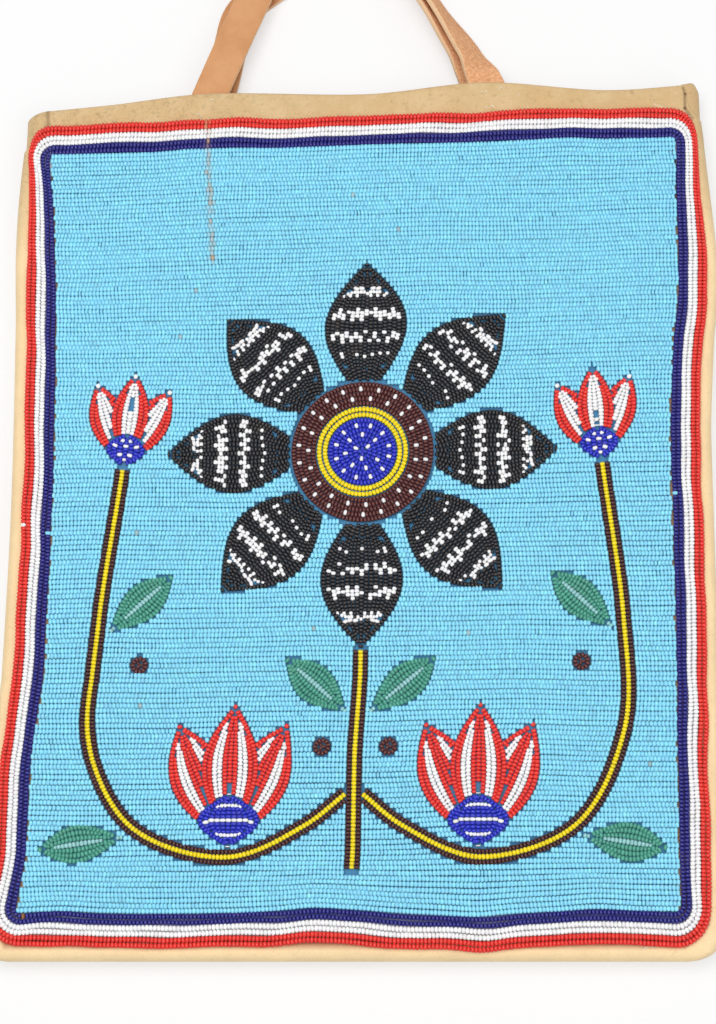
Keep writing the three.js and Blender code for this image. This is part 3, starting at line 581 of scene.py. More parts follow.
def strap_look():
    """Vegetable-tanned strap leather: a smooth grain face, a speckled flesh face and pale cut edges."""
    look = Look("strap_leather", 0.6, Specular_IOR_Level=0.3)
    flesh = look.attribute("flesh")
    cut = look.attribute("cut")
    cloud = look.noise(14 * MM, 3, 0.6)
    speck = look.noise(1.1 * MM, 3, 0.75, seed=1)
    pore = look.noise(0.45 * MM, 2, 0.6, seed=2)
    grain = look.mix(look.between(cloud, 0.3, 0.7), srgb(209, 153, 106), srgb(197, 139, 91))
    grain = look.mix(look.between(pore, 0.5, 0.78) * 0.35, grain, srgb(180, 124, 84))
    rough_side = look.mix(look.between(speck, 0.3, 0.68), srgb(238, 184, 138), srgb(207, 146, 102))
    face = look.mix(flesh, grain, rough_side)
    look.colour(look.mix(cut * 0.8, face, srgb(228, 196, 158)))
    look.rough(0.55 + flesh * 0.3 + pore * 0.1)
    look.bump(speck * flesh + pore * (1 - flesh) * 0.5, 0.00025)
    return look.material


def thread_look():
    """Waxed white thread, soiled in places."""
    look = Look("white_thread", 0.7)
    soil = look.noise(1.5 * MM, 2, 0.6)
    look.colour(look.mix(look.between(soil, 0.4, 0.75) * 0.5, srgb(244, 238, 228), srgb(206, 188, 162)))
    return look.material


BEAD_GLASS = bead_look()
SUEDE = hide_look()
STRAP_LEATHER = strap_look()
WHITE_THREAD = thread_look()


# Beads

RING_PLACES = np.array([-0.49, -0.22, 0.22, 0.49])
RING_SIZES = np.array([0.6, 1, 1, 0.6])
SECTION_TURNS = np.radians([38, 142, 218, 322])


def bead_template():
    """A bead about its own hole: rings of four points, full over the middle half, capped at both ends. A
    ring's points stand a bead's width apart across the row and a little less in height."""
    along = np.repeat(RING_PLACES, len(SECTION_TURNS))
    size = np.repeat(RING_SIZES, len(SECTION_TURNS)) / 2 / math.cos(SECTION_TURNS[0])
    turn = np.tile(SECTION_TURNS, len(RING_PLACES))
    points = np.stack([along, size * np.cos(turn), size * np.sin(turn)], axis=1)
    sides = len(SECTION_TURNS)
    ring = np.arange(sides)
    after = (ring + 1) % sides
    starts = np.arange(len(RING_PLACES) - 1) * sides
    bands = [np.stack([ring + r, after + r, after + r + sides, ring + r + sides], axis=1) for r in starts]
    caps = np.stack([ring[::-1], ring + starts[-1] + sides])
    return points, np.concatenate(bands), caps


class Row:
    """Beads in field coordinates: their middles, the way their row runs, their tints, and their lengths and
    widths as shares of the usual ones."""

    def __init__(self, x, y, angle, tint, long=1, wide=1):
        self.x, self.y, self.angle, self.long, self.wide = (
            np.broadcast_to(value, np.shape(x)).astype(float) for value in (x, y, angle, long, wide))
        self.tint = np.broadcast_to(tint, (*np.shape(x), 3)).astype(float)

    def kept(self, chosen):
        return Row(self.x[chosen], self.y[chosen], self.angle[chosen], self.tint[chosen], self.long[chosen],
                   self.wide[chosen])


def together(rows):
    parts = ("x", "y", "angle", "tint", "long", "wide")
    return Row(*(np.concatenate([getattr(row, part) for row in rows]) for part in parts))


def near_line(x, y, start, end):
    """Distance from a straight stretch."""
    (x0, y0), (x1, y1) = start, end
    run_x, run_y = x1 - x0, y1 - y0
    share = np.clip(((x - x0) * run_x + (y - y0) * run_y) / (run_x ** 2 + run_y ** 2), 0, 1)
    return np.hypot(x - x0 - share * run_x, y - y0 - share * run_y)


def weathered(name, tint, x, y, rng):
    """Each bead a little lighter or darker than its neighbour, a run of dirt down the top left, and the
    beads of another colour that were sewn in by mistake."""
    tint = tint * (rng.normal(1, 0.04, (len(x), 1)) + rng.normal(0, 0.01, (len(x), 3)))
    run = near_line(x, y, STAIN_TOP, STAIN_FOOT) + rng.normal(0, 0.3, len(x)) * MM
    soiled = rng.uniform(0.2, 0.65, len(x)) * (1 - smoothstep(run, 0.5 * MM, 1.8 * MM))
    drop = np.hypot(x - STAIN_FOOT[0], y - STAIN_FOOT[1])
    soiled = np.maximum(soiled, 0.9 * (1 - smoothstep(drop, 0.9 * MM, 1.6 * MM)))[:, None]
    tint = tint * (1 - soiled) + STAIN * soiled
    for field, odd_x, odd_y, colour in ODD_BEADS:
        if name.startswith(field):
            away = np.hypot(x - odd_x * MM, y - odd_y * MM)
            if away.min() < 2 * BEAD_WIDTH:
                tint[away.argmin()] = colour
    return np.clip(tint, 0, 1)


def corner_sag(x, y):
    """How far the outer rows sink where the border rolls over the bag's edge at its two top corners."""
    squeezed = smoothstep(y, MOUTH_Y - MOUTH_PULL_DEPTH, GROUND_TOP)
    return CORNER_SAG * squeezed * smoothstep(np.abs(x) - GROUND_RIGHT, BORDER_WIDTH / 2, BORDER_WIDTH)


def bead_piece(name, row, slot, *nodes):
    """Sets one bead for each of the row's, laid on the bag and as long and wide as the laid rows are there,
    each turned, tipped and sized a little by chance."""
    rng = draws(name)
    count = len(row.x)
    x, y = lay_beads(row.x, row.y)
    forward, sideways = PROBE_STEP * np.cos(row.angle), PROBE_STEP * np.sin(row.angle)
    ahead = lay_beads(row.x + forward, row.y + sideways)
    beside = lay_beads(row.x - sideways, row.y + forward)
    run = np.hypot(ahead[0] - x, ahead[1] - y) / PROBE_STEP
    spread = np.hypot(beside[0] - x, beside[1] - y) / PROBE_STEP
    turn = np.arctan2(ahead[1] - y, ahead[0] - x) + rng.normal(0, 0.04, count)
    tip = rng.normal(0, 0.06, count)
    lean = rng.normal(0, 0.03, count)
    along = np.stack([np.cos(turn) * np.cos(tip), np.sin(turn) * np.cos(tip), np.sin(tip)], axis=1)
    side = np.stack([-np.sin(turn) * np.cos(lean), np.cos(turn) * np.cos(lean), np.sin(lean)], axis=1)
    up = np.cross(along, side)
    length = BEAD_PITCH * row.long * run * rng.normal(0.995, 0.02, count).clip(0.94, 1.03)
    width = BEAD_WIDTH * row.wide * spread.clip(0.8, 1.15) * rng.normal(1, 0.02, count).clip(0.95, 1.04)
    half_height = width / 2 * math.tan(SECTION_TURNS[0])
    z = BAG_DEPTH + SEAM_GAP + half_height - corner_sag(row.x, row.y)
    middle = np.stack([x, y, z + rng.normal(0, 0.04, count).clip(-0.08, 0.08) * MM], axis=1)
    points, bands, caps = bead_template()
    spots = (middle[:, None]
             + points[None, :, :1] * (along * length[:, None])[:, None]
             + points[None, :, 1:2] * (side * width[:, None])[:, None]
             + points[None, :, 2:3] * (up * width[:, None])[:, None])
    start = np.arange(count)[:, None, None] * len(points)
    blocks = [(bands[None] + start).reshape(-1, 4), (caps[None] + start).reshape(-1, caps.shape[1])]
    tint = np.concatenate([weathered(name, row.tint, x, y, rng), np.ones((count, 1))], axis=1)
    piece = new_piece(name, spots.reshape(-1, 3), blocks, BEAD_GLASS,
                      [("tint", np.repeat(tint, len(points), axis=0))])
    plan_map(piece)
    return settle(piece, slot, *nodes)


# Outlines of the spray's fields

def in_blade(root, direction, length, width, fullness=1.15):
    """A test for points within a petal or leaf: half width = width/2 sin(pi t^fullness)."""
    def inside(x, y):
        along = (x - root[0]) * math.cos(direction) + (y - root[1]) * math.sin(direction)
        side = (y - root[1]) * math.cos(direction) - (x - root[0]) * math.sin(direction)
        t = np.clip(along / length, 0, 1)
        return np.abs(side) < width / 2 * np.sin(np.pi * t ** fullness)
    return inside


def in_disc(x0, y0, radius):
    return lambda x, y: np.hypot(x - x0, y - y0) < radius


def in_band(line, half):
    """A test for points within half a width of a line of close points."""
    def inside(x, y):
        found = np.zeros(np.shape(x), bool)
        for px, py in line[::2]:
            found |= (x - px) ** 2 + (y - py) ** 2 < half ** 2
        return found
    return inside


def clear_of(row, taken):
    """Which beads of a row reach into none of the outlines taken before it."""
    clear = np.ones(len(row.x), bool)
    reach = [(0, 0), (0.22, 0), (-0.22, 0), (0, 0.25), (0, -0.25)]
    for along, side in reach:
        x = row.x + along * BEAD_PITCH * np.cos(row.angle) - side * BEAD_WIDTH * np.sin(row.angle)
        y = row.y + along * BEAD_PITCH * np.sin(row.angle) + side * BEAD_WIDTH * np.cos(row.angle)
        for inside in taken:
            clear &= ~inside(x, y)
    return clear


def uncrowded(row, laid):
    """Which beads of a row keep most of a bead's size from every bead laid before."""
    if laid is None:
        return np.ones(len(row.x), bool)
    dx = row.x[:, None] - laid.x
    dy = row.y[:, None] - laid.y
    along = dx * np.cos(laid.angle) + dy * np.sin(laid.angle)
    side = dy * np.cos(laid.angle) - dx * np.sin(laid.angle)
    return (np.hypot(along / BEAD_PITCH, side / ROW_PITCH) > CROWDED).all(axis=1)


def strung(points, tint, wide=1):
    """Beads end to end along a line of close points, of such a length that they fill it. A width given at
    each point is read at the beads' places."""
    steps = np.hypot(*np.diff(points, axis=0).T)
    reach = np.concatenate([[0], np.cumsum(steps)])
    count = max(int(round(reach[-1] / BEAD_PITCH)), 1)
    places = (np.arange(count) + 0.5) / count * reach[-1]
    x = np.interp(places, reach, points[:, 0])
    y = np.interp(places, reach, points[:, 1])
    ahead = np.minimum(places + 0.3 * MM, reach[-1])
    behind = np.maximum(places - 0.3 * MM, 0)
    angle = np.arctan2(np.interp(ahead, reach, points[:, 1]) - np.interp(behind, reach, points[:, 1]),
                       np.interp(ahead, reach, points[:, 0]) - np.interp(behind, reach, points[:, 0]))
    wide = np.interp(places, reach, np.broadcast_to(wide, len(points)))
    return Row(x, y, angle, tint, reach[-1] / count / BEAD_PITCH, wide)


def blade_rows(root, direction, length, width, tint_of, fullness=1.15):
    """Rows of a petal or leaf: its outline a half pitch in, and lanes at even shares of the way from its
    axis to the outline. Lanes run closer together towards the tips, so every other one ends where they
    would crowd, and the axis closes the tips. tint_of(line, lines, place) gives the tints from the lane's
    count, 0 on the axis, and the share of the way to the tip."""
    t = np.linspace(0.002, 0.998, 320)
    half = width / 2 * np.sin(np.pi * t ** fullness)
    slope = np.gradient(half, t * length)
    lift = ROW_PITCH / 2 / np.sqrt(1 + slope ** 2)
    rim = half - lift
    lines = max(int(round(rim.max() / ROW_PITCH)), 1)
    gap = np.maximum(rim, 0.01 * MM) / lines
    apart = 2 ** np.ceil(np.log2(np.maximum(CROWDED * ROW_PITCH / gap, 1)))
    laid = None
    for line in [lines, *range(lines)]:
        from_rim = lines - line
        if line == lines:
            usable = rim > NARROW_RIM
        else:
            usable = (from_rim % apart == 0) & (rim > CROWDED * ROW_PITCH)
        if line == 0:
            usable |= (rim < NARROW_RIM) & (half > 0.3 * MM)
        forward = t * length + lift * slope * line / lines
        for side in ((1, -1) if line else (1,)):
            across = side * rim * line / lines
            x = root[0] + forward * math.cos(direction) - across * math.sin(direction)
            y = root[1] + forward * math.sin(direction) + across * math.cos(direction)
            edges = np.flatnonzero(np.diff(np.concatenate([[0], usable.astype(int), [0]])))
            for first, last in edges.reshape(-1, 2):
                if last - first < 2:
                    continue
                wide = np.clip(gap * apart / ROW_PITCH, CROWDED, 1.1)[first:last]
                row = strung(np.stack([x, y], axis=1)[first:last], BLACK, 1 if line == lines else wide)
                reached = (row.x - root[0]) * math.cos(direction) + (row.y - root[1]) * math.sin(direction)
                row.tint = tint_of(line, lines, reached / length)
                row = row.kept(uncrowded(row, laid))
                laid = row if laid is None else together([laid, row])
    return laid


def ring_rows(x0, y0, radii, tint_of):
    """Closed rings of beads, one at each radius."""
    rows = []
    for number, radius in enumerate(radii):
        count = max(int(round(2 * math.pi * radius / BEAD_PITCH)), 3)
        turn = (np.arange(count) + 0.5 * (number % 2)) * 2 * math.pi / count
        rows.append(Row(x0 + radius * np.cos(turn), y0 + radius * np.sin(turn), turn + math.pi / 2,
                        tint_of(number, np.arange(count)), 2 * math.pi * radius / count / BEAD_PITCH))
    return together(rows)


def along_rows(line):
    """Rows side by side on a line of close points: dark outside, yellow between."""
    slope = np.gradient(line, axis=0)
    normal = np.stack([-slope[:, 1], slope[:, 0]], axis=1) / np.hypot(*slope.T)[:, None]
    rows = []
    for number in range(STEM_ROWS):
        offset = (number - (STEM_ROWS - 1) / 2) * ROW_PITCH
        rows.append(strung(line + normal * offset, YELLOW if number == STEM_ROWS // 2 else DARK_RED * 0.6))
    return together(rows)


# The spray

def tints(choice, first, second):
    """The second tint where a choice is true, and the first elsewhere."""
    return np.where(np.asarray(choice)[:, None], second, first)


def petal_tints(rng, length):
    def tint_of(line, lines, place):
        bars = (place * length / MM + 1.5 * (line % 2)) % 9.5 < 3.2
        barred = bars & (place > 0.34) & (place < 0.9) & (line != lines) & (rng.random(len(place)) < 0.82)
        return tints(barred, BLACK, WHITE)
    return tint_of


def stripe_tints(line, lines, place):
    return tints(np.full(len(place), (lines - line) // 2 % 2 == 1), RED, WHITE)


def dotted_tints(line, lines, place):
    count = np.arange(len(place))
    return tints((count % 4 == (line * 2) % 4) & (line != lines), ROYAL, WHITE)


def leaf_tints(line, lines, place):
    return tints(np.full(len(place), line == 0) & (place < 0.86), GREEN, PALE_GREEN)


class Spray:
    """Fields of beads laid one after another. Each keeps clear of those before it."""

    def __init__(self):
        self.taken = []

    def add(self, node, slot, row, outlines):
        row = row.kept(clear_of(row, self.taken))
        bead_piece(f"{node}.rows", row, slot, node)
        self.taken += outlines


def vine_points(side):
    """The vine's middle line, through shares of its reach to the side and of its rise."""
    reach = [max(VINE_SIDE * out, STEM_HALF + FIELD_GAP) for out, _ in VINE_ROUTE]
    return np.array([(side * out, VINE_LOW + (VINE_TOP - VINE_LOW) * rise)
                     for out, (_, rise) in zip(reach, VINE_ROUTE)])


def add_rosette(spray):
    rng = draws("rosette")

    def centre_tints(number, count):
        return tints((count % 4 == number % 4) & (number % 2 == 1), ROYAL, WHITE)

    def root_tints(number, count):
        return tints((count % 5 == number) & (number % 2 == 1), DARK_RED, WHITE)

    centre = ring_rows(0, ROSETTE_Y, np.arange(ROW_PITCH / 2, CENTRE_RADIUS, ROW_PITCH), centre_tints)
    spray.add("rosette_centre_beads", "beads_royal_blue", centre, [in_disc(0, ROSETTE_Y, CENTRE_RADIUS)])
    ring = ring_rows(0, ROSETTE_Y, [CENTRE_RADIUS + RING_ROW_INSET, RING_RADIUS - RING_ROW_INSET],
                     lambda number, count: YELLOW)
    spray.add("rosette_ring_beads", "beads_yellow", ring, [in_disc(0, ROSETTE_Y, RING_RADIUS)])
    root_radii = np.arange(RING_RADIUS + ROOT_ROW_INSET, PETAL_ROOT_RADIUS - ROW_PITCH / 2, ROW_PITCH)
    roots = ring_rows(0, ROSETTE_Y, root_radii, root_tints)
    rows, outlines = [roots], [in_disc(0, ROSETTE_Y, PETAL_ROOT_RADIUS)]
    length = ROSETTE_RADIUS - RING_RADIUS
    for number in range(PETAL_COUNT):
        direction = 2 * math.pi * number / PETAL_COUNT - math.pi / 2
        root = (RING_RADIUS * math.cos(direction), ROSETTE_Y + RING_RADIUS * math.sin(direction))
        petal = blade_rows(root, direction, length, PETAL_WIDTH, petal_tints(rng, length))
        rows.append(petal.kept(np.hypot(petal.x, petal.y - ROSETTE_Y) > PETAL_ROOT_RADIUS + 0.2 * MM))
        outlines.append(in_blade(root, direction, length, PETAL_WIDTH))
    spray.add("rosette_petal_beads", "beads_black", together(rows), outlines)


def add_stems(spray):
    main = np.linspace((0, STEM_FOOT), (0, STEM_TOP), 100)
    spray.add("main_stem_beads", "beads_yellow", along_rows(main), [in_band(main, STEM_HALF)])
    for name, side in (("left", -1), ("right", 1)):
        line = smooth_line(vine_points(side), np.linspace(0, 1, 320))
        spray.add(f"{name}_vine_beads", "beads_yellow", along_rows(line), [in_band(line, STEM_HALF)])


def add_flower(spray, name, root, direction, length, width, cup_length, cup_width):
    cup = blade_rows(root, direction, cup_length, cup_width, dotted_tints, fullness=1)
    spray.add(f"{name}_cup_beads", "beads_royal_blue", cup,
              [in_blade(root, direction, cup_length, cup_width, fullness=1)])
    rows, outlines, laid = [], [], None
    for turn in (0, -FLOWER_SPREAD, FLOWER_SPREAD):
        reach = length * (0.94 if turn else 1)
        petal = blade_rows(root, direction + turn, reach, width, stripe_tints)
        petal = petal.kept(clear_of(petal, outlines))
        rows.append(petal)
        outlines.append(in_blade(root, direction + turn, reach, width))
    spray.add(f"{name}_petal_beads", "beads_red", together(rows), outlines)


def add_flowers(spray):
    for name, side in (("left", -1), ("right", 1)):
        points = vine_points(side)
        seat = points[2]
        add_flower(spray, f"{name}_tulip", (seat[0], seat[1] + STEM_HALF + 2 * FIELD_GAP), math.pi / 2,
                   TULIP_LENGTH, TULIP_PETAL_WIDTH, CUP_LENGTH, CUP_WIDTH)
        tip = smooth_line(points, np.array([0.999, 1]))
        slope = (tip[1] - tip[0]) / np.hypot(*(tip[1] - tip[0]))
        add_flower(spray, f"{name}_bud", tip[1] + slope * 3 * FIELD_GAP, math.atan2(slope[1], slope[0]),
                   BUD_LENGTH, BUD_PETAL_WIDTH, BUD_CUP_LENGTH, BUD_CUP_WIDTH)


def add_leaf(spray, node, root, direction):
    spray.add(node, "beads_green", blade_rows(root, direction, LEAF_LENGTH, LEAF_WIDTH, leaf_tints),
              [in_blade(root, direction, LEAF_LENGTH, LEAF_WIDTH)])


def add_berry(spray, node, x, y):
    berry = ring_rows(x, y, np.array([0.6, 2.6]) * MM, lambda number, count: DARK_RED)
    spray.add(node, "beads_dark_red", berry, [in_disc(x, y, BERRY_RADIUS)])


def add_leaves_and_berries(spray):
    seat = STEM_HALF + LEAF_SEAT
    for name, side in (("left", -1), ("right", 1)):
        def mirrored(angle):
            return angle if side > 0 else math.pi - angle
        points = vine_points(side)
        stem_root = (side * seat, STEM_TOP - STEM_LEAF_BELOW)
        add_leaf(spray, f"{name}_stem_leaf_beads", stem_root, mirrored(STEM_LEAF_ANGLE))
        low_root = (points[3][0] + side * seat / 2, points[3][1] - seat)
        add_leaf(spray, f"{name}_low_leaf_beads", low_root, mirrored(LOW_LEAF_ANGLE))
        high_root = (points[5][0] - side * seat, points[5][1] - seat)
        add_leaf(spray, f"{name}_high_leaf_beads", high_root, mirrored(HIGH_LEAF_ANGLE))
        add_berry(spray, f"{name}_stem_berry_beads", side * BERRY_REACH, stem_root[1] - BERRY_REACH)
        add_berry(spray, f"{name}_vine_berry_beads", high_root[0] - side * BERRY_REACH,
                  high_root[1] - BERRY_REACH)


# The ground and the border

def wander(x, y):
    """How far rows stray from straight: a sum of long waves that fades out at the border."""
    sway = (0.32 * np.sin(x / (26 * MM) + y / (61 * MM) + 0.6)
            + 0.26 * np.sin(x / (15 * MM) - y / (48 * MM) + 2.1)
            + 0.45 * np.sin(x / (43 * MM) + y / (37 * MM) + 4)
            + 0.08 * np.sin(x / (6.5 * MM) + y / (31 * MM))) * MM
    inset = np.minimum(y - GROUND_BOTTOM, GROUND_TOP - y)
    return sway * smoothstep(inset, 0, 26 * MM)


def fitted(low, high, y, rng):
    """Bead middles and lengths that fill a stretch of a ground row end to end."""
    laid = lay_beads(np.array([low, high]), np.full(2, y))[0]
    count = int(round((laid[1] - laid[0]) / (BEAD_PITCH * rng.normal(1, 0.01))))
    lengths = rng.normal(1, 0.05, count)
    lengths *= (high - low) / lengths.sum()
    return low + np.cumsum(lengths) - lengths / 2, lengths


def ground_rows(spray):
    """Rows of sky-blue beads from border to border, broken at the spray. Some stop short of the border."""
    rng = draws("ground")
    pitch = (GROUND_TOP - GROUND_BOTTOM) / GROUND_ROWS
    places = np.arange(-GROUND_RIGHT - MM, GROUND_RIGHT + MM, PROBE_STEP)
    x, y = np.meshgrid(places, GROUND_BOTTOM + (np.arange(GROUND_ROWS) + 0.5) * pitch)
    strayed = y + wander(x, y)
    clear = np.ones(x.shape, bool)
    for inside in spray.taken:
        for aside in (-0.15, 0, 0.15):
            clear &= ~inside(x, strayed + aside * BEAD_WIDTH)
    rows = []
    for number in range(GROUND_ROWS):
        level = y[number, 0]
        short = rng.uniform(-0.25, 0.15, 2) + (rng.random(2) < 0.3) * rng.uniform(0.3, 0.9, 2)
        ends = np.array([-1, 1]) * (GROUND_RIGHT - short * MM)
        free = clear[number] & (places > ends[0]) & (places < ends[1])
        edges = np.flatnonzero(np.diff(np.concatenate([[0], free.astype(int), [0]])))
        own = rng.normal(0, 0.03, 4) * MM
        phase = rng.uniform(0, 2 * math.pi, 3)
        for first, last in edges.reshape(-1, 2):
            middles, lengths = fitted(places[first], places[last - 1], level, rng)
            stray = own[0] + sum(own[i + 1] * np.sin(middles / (reach * MM) + phase[i])
                                 for i, reach in enumerate((5, 11, 23)))
            rows.append(Row(middles, level + stray, 0, SKY, lengths / BEAD_PITCH))
    row = together(rows)
    loose = rng.random(len(row.x)) < 0.006
    row.long = row.long * np.where(loose, 0.76, 1)
    faded = rng.random(len(row.x)) < 0.0004
    row.tint = np.where(faded[:, None], (row.tint + BARE_EDGE) / 2, row.tint)
    slope = (wander(row.x + MM, row.y) - wander(row.x - MM, row.y)) / (2 * MM)
    return Row(row.x, row.y + wander(row.x, row.y), np.arctan(slope), row.tint, row.long)


def border_line(rows_out):
    """The closed line of a border row's middle: straight sides and round corners about the ground's."""
    out = (rows_out + 0.5) * ROW_PITCH
    radius = GROUND_CORNER_RADIUS + out
    right, top, bottom = (GROUND_RIGHT - GROUND_CORNER_RADIUS, GROUND_TOP - GROUND_CORNER_RADIUS,
                          GROUND_BOTTOM + GROUND_CORNER_RADIUS)
    line = []
    for number, (x, y) in enumerate([(right, top), (-right, top), (-right, bottom), (right, bottom)]):
        turn = (number + np.linspace(0, 1, 16)) * math.pi / 2
        line.append(np.stack([x + radius * np.cos(turn), y + radius * np.sin(turn)], axis=1))
    corners = np.concatenate(line)
    closed = np.vstack([corners, corners[:1]])
    reach = np.concatenate([[0], np.cumsum(np.hypot(*np.diff(closed, axis=0).T))])
    places = np.linspace(0, reach[-1], 1600)
    return np.stack([np.interp(places, reach, closed[:, i]) for i in (0, 1)], axis=1)


def border_rows(name, first, tint):
    """A colour's two rows. All six rows of the border sway together, and each a little on its own."""
    common, rng = draws("border sway"), draws(name)
    turn = np.linspace(0, 2 * math.pi, 1600)
    shared = sum(common.normal(0, 0.07) * np.sin(turn * waves + common.uniform(0, 6.28))
                 for waves in range(9, 60, 7))
    rows = []
    for number in range(first, first + ROWS_PER_COLOUR):
        line = border_line(number)
        slope = np.gradient(line, axis=0)
        normal = np.stack([slope[:, 1], -slope[:, 0]], axis=1) / np.hypot(*slope.T)[:, None]
        loose = 0.035 if number == 3 * ROWS_PER_COLOUR - 1 else 0.014
        own = sum(rng.normal(0, loose) * np.sin(turn * waves + rng.uniform(0, 6.28))
                  for waves in (23, 41, 67, 97))
        inner = min(0.5 + 0.25 * number, 1)
        rows.append(strung(line + normal * ((shared * inner + own) * MM)[:, None], tint))
    return together(rows)


def add_border():
    for place, (name, tint) in enumerate([("navy", NAVY), ("white", WHITE), ("red", RED)]):
        node = f"border_{name}_beads"
        bead_piece(f"{node}.rows", border_rows(name, place * ROWS_PER_COLOUR, tint), f"beads_{name}", node)


def add_ground(spray):
    """The ground in bands, because one piece would have too many faces."""
    row = ground_rows(spray)
    order = np.argsort(row.y, kind="stable")
    triangles = len(row.x) * TRIANGLES_PER_BEAD
    parts = math.ceil(triangles / PIECE_TRIANGLES)
    for number, chosen in enumerate(np.array_split(order, parts)):
        bead_piece(f"ground_rows_{number + 1}", row.kept(chosen), "beads_sky_blue", "ground_beads")


# Hide body

def ear_inset(y, side):
    """How far the gusset's end comes round to the front of the bag near the mouth."""
    if side < 0:
        return LEFT_EAR * smoothstep(y, 155 * MM, 167 * MM)
    return RIGHT_EAR * smoothstep(y, 160 * MM, 171 * MM)


def panel_half_width(y, side):
    """Half the panel's width on one side: round at the foot, and cut back beside the gusset's end."""
    radius = CORNER_RADIUS + GUSSET_BULGE
    below = np.clip((radius - BAG_HEIGHT / 2 - y) / radius, 0, 1)
    return BAG_WIDTH / 2 - radius * (1 - np.sqrt(1 - below ** 2)) - ear_inset(y, side)


def panel_middle(x_share, fold_path):
    """The panel's middle surface on a grid: y and z along its folded path, x at shares of its width, and its
    edges rolled down over the gusset by a quarter ellipse."""
    y, z, hem = fold_path
    y, z, hem = y[:, None], z[:, None], hem[:, None]
    side = np.sign(x_share)[None, :]
    width = np.where(side < 0, panel_half_width(y, -1), panel_half_width(y, 1))
    inside = PANEL_HALF_WIDTH - 4 * MM
    x = x_share[None, :] * (width * (1 - hem) + inside * hem)
    ear = np.where(side < 0, ear_inset(y, -1) / LEFT_EAR, ear_inset(y, 1) / RIGHT_EAR)
    roll = ROLL_WIDTH * (1 - 0.6 * ear)
    beside = np.clip(1 - (width - np.abs(x)) / roll, 0, 1)
    below = np.clip(1 - (y + BAG_HEIGHT / 2) / ROLL_WIDTH, 0, 1)
    steep = np.clip(np.hypot(beside, below), 0, 0.995)
    drop = (ROLL_DROP * (1 - ear) + 1.4 * MM * ear) * (1 - np.sqrt(1 - steep ** 2)) * (1 - hem)
    swell = 0.35 * MM * np.sin(np.pi * np.clip((y - BORDER_TOP) / HIDE_ABOVE_BORDER, 0, 1)) * (1 - hem)
    return np.stack(np.broadcast_arrays(x, y, z - drop + swell), axis=-1)


def fold_path():
    """The panel's path in Y and Z: up the flat face, round the fold at the mouth and back along the hem.
    The third row is 0 on the face and 1 on the hem."""
    foot = -BAG_HEIGHT / 2
    face_z = BAG_DEPTH - HIDE_THICKNESS / 2
    radius = (HIDE_THICKNESS + SEAM_GAP) / 2
    fold_y = MOUTH_Y - radius - HIDE_THICKNESS / 2
    roll = foot + ROLL_WIDTH * (1 - np.cos(np.linspace(0.05, math.pi / 2, 8)))
    face = np.concatenate([roll, np.linspace(foot + 2 * ROLL_WIDTH, BORDER_TOP, 60),
                           np.linspace(BORDER_TOP, fold_y, 14)[1:]])
    turn = np.linspace(0, math.pi, 9)[1:-1]
    hem = np.linspace(fold_y, fold_y - HEM_WIDTH, 12)
    y = np.concatenate([face, fold_y + radius * np.sin(turn), hem])
    z = np.concatenate([np.full(len(face), face_z), face_z - radius * (1 - np.cos(turn)),
                        np.full(len(hem), face_z - 2 * radius)])
    hemmed = np.concatenate([np.zeros(len(face)), np.linspace(0, 1, len(turn)), np.ones(len(hem))])
    return y, z, hemmed


def painted_shade_under_beads(x, y):
    """Painted shade on the hide between the beads, and how strongly it takes it: sky-blue painted shade and
    bounce under the ground, each border colour's own painted shade under its rows, and bare hide in painted
    shade at the ground's ends."""
    corner_x = np.maximum(np.abs(x) - GROUND_RIGHT, 0)
    corner_y = np.maximum(np.abs(y - GROUND_MIDDLE) - GROUND_HALF_HEIGHT, 0) / BORDER_STRETCH
    out = np.hypot(corner_x, corner_y) / (ROWS_PER_COLOUR * ROW_PITCH)
    tones = np.array([SKY_GAP_SHADE, NAVY_GAP_SHADE, WHITE_GAP_SHADE, RED_GAP_SHADE, RED_GAP_SHADE])
    zone = np.clip(np.ceil(out), 0, 4).astype(int)
    beside = np.abs(np.abs(x) - GROUND_RIGHT + 0.4 * MM) < 1 * MM
    bare = beside & (np.abs(y - GROUND_MIDDLE) < GROUND_HALF_HEIGHT)
    tone = np.where(bare[..., None], BARE_EDGE, tones[zone])
    return np.concatenate([tone, (1 - smoothstep(out, 2.75, 2.95))[..., None]], axis=-1)


def panel_lines():
    """Places of the panel's lines across half its width: closer together under the border and round the
    rolled edge."""
    zones = GROUND_RIGHT + np.arange(4) * ROWS_PER_COLOUR * ROW_PITCH
    beside = np.sort(np.concatenate([zones - 0.3 * MM, zones + 0.3 * MM]))
    roll = BAG_WIDTH / 2 - ROLL_WIDTH * (1 - np.sin(np.linspace(0, math.pi / 2, 9)))
    bare = GROUND_RIGHT - np.array([1.8, 1.2]) * MM
    lines = np.concatenate([np.linspace(0, GROUND_RIGHT - 3 * MM, 24), bare, beside, roll])
    return np.sort(lines) / (BAG_WIDTH / 2)


def add_panels():
    """Front and back panels, the back one the front's mirror image in depth."""
    half_lines = panel_lines()
    x_share = np.concatenate([-half_lines[:0:-1], half_lines])
    path = fold_path()
    middle = panel_middle(x_share, path)
    # The front panel's under tone and beaded share carry the painted shade between the beads
    under = painted_shade_under_beads(middle[..., 0], middle[..., 1]).reshape(-1, 4)
    for name, back in (("front_panel", False), ("back_panel", True)):
        laid = lay_hide(middle)
        if back:
            laid[..., 2] = BAG_DEPTH - laid[..., 2]
        points, blocks = hide_sheet(laid)
        share = np.zeros(len(points)) if back else np.tile(under[:, 3], 2)
        tone = np.concatenate([np.tile(under[:, :3], (2, 1)), np.ones((len(points), 1))], axis=1)
        piece = new_piece(f"{name}.hide", points, blocks, SUEDE, [("under", tone), ("beaded", share)])
        settle(piece, "hide", name)


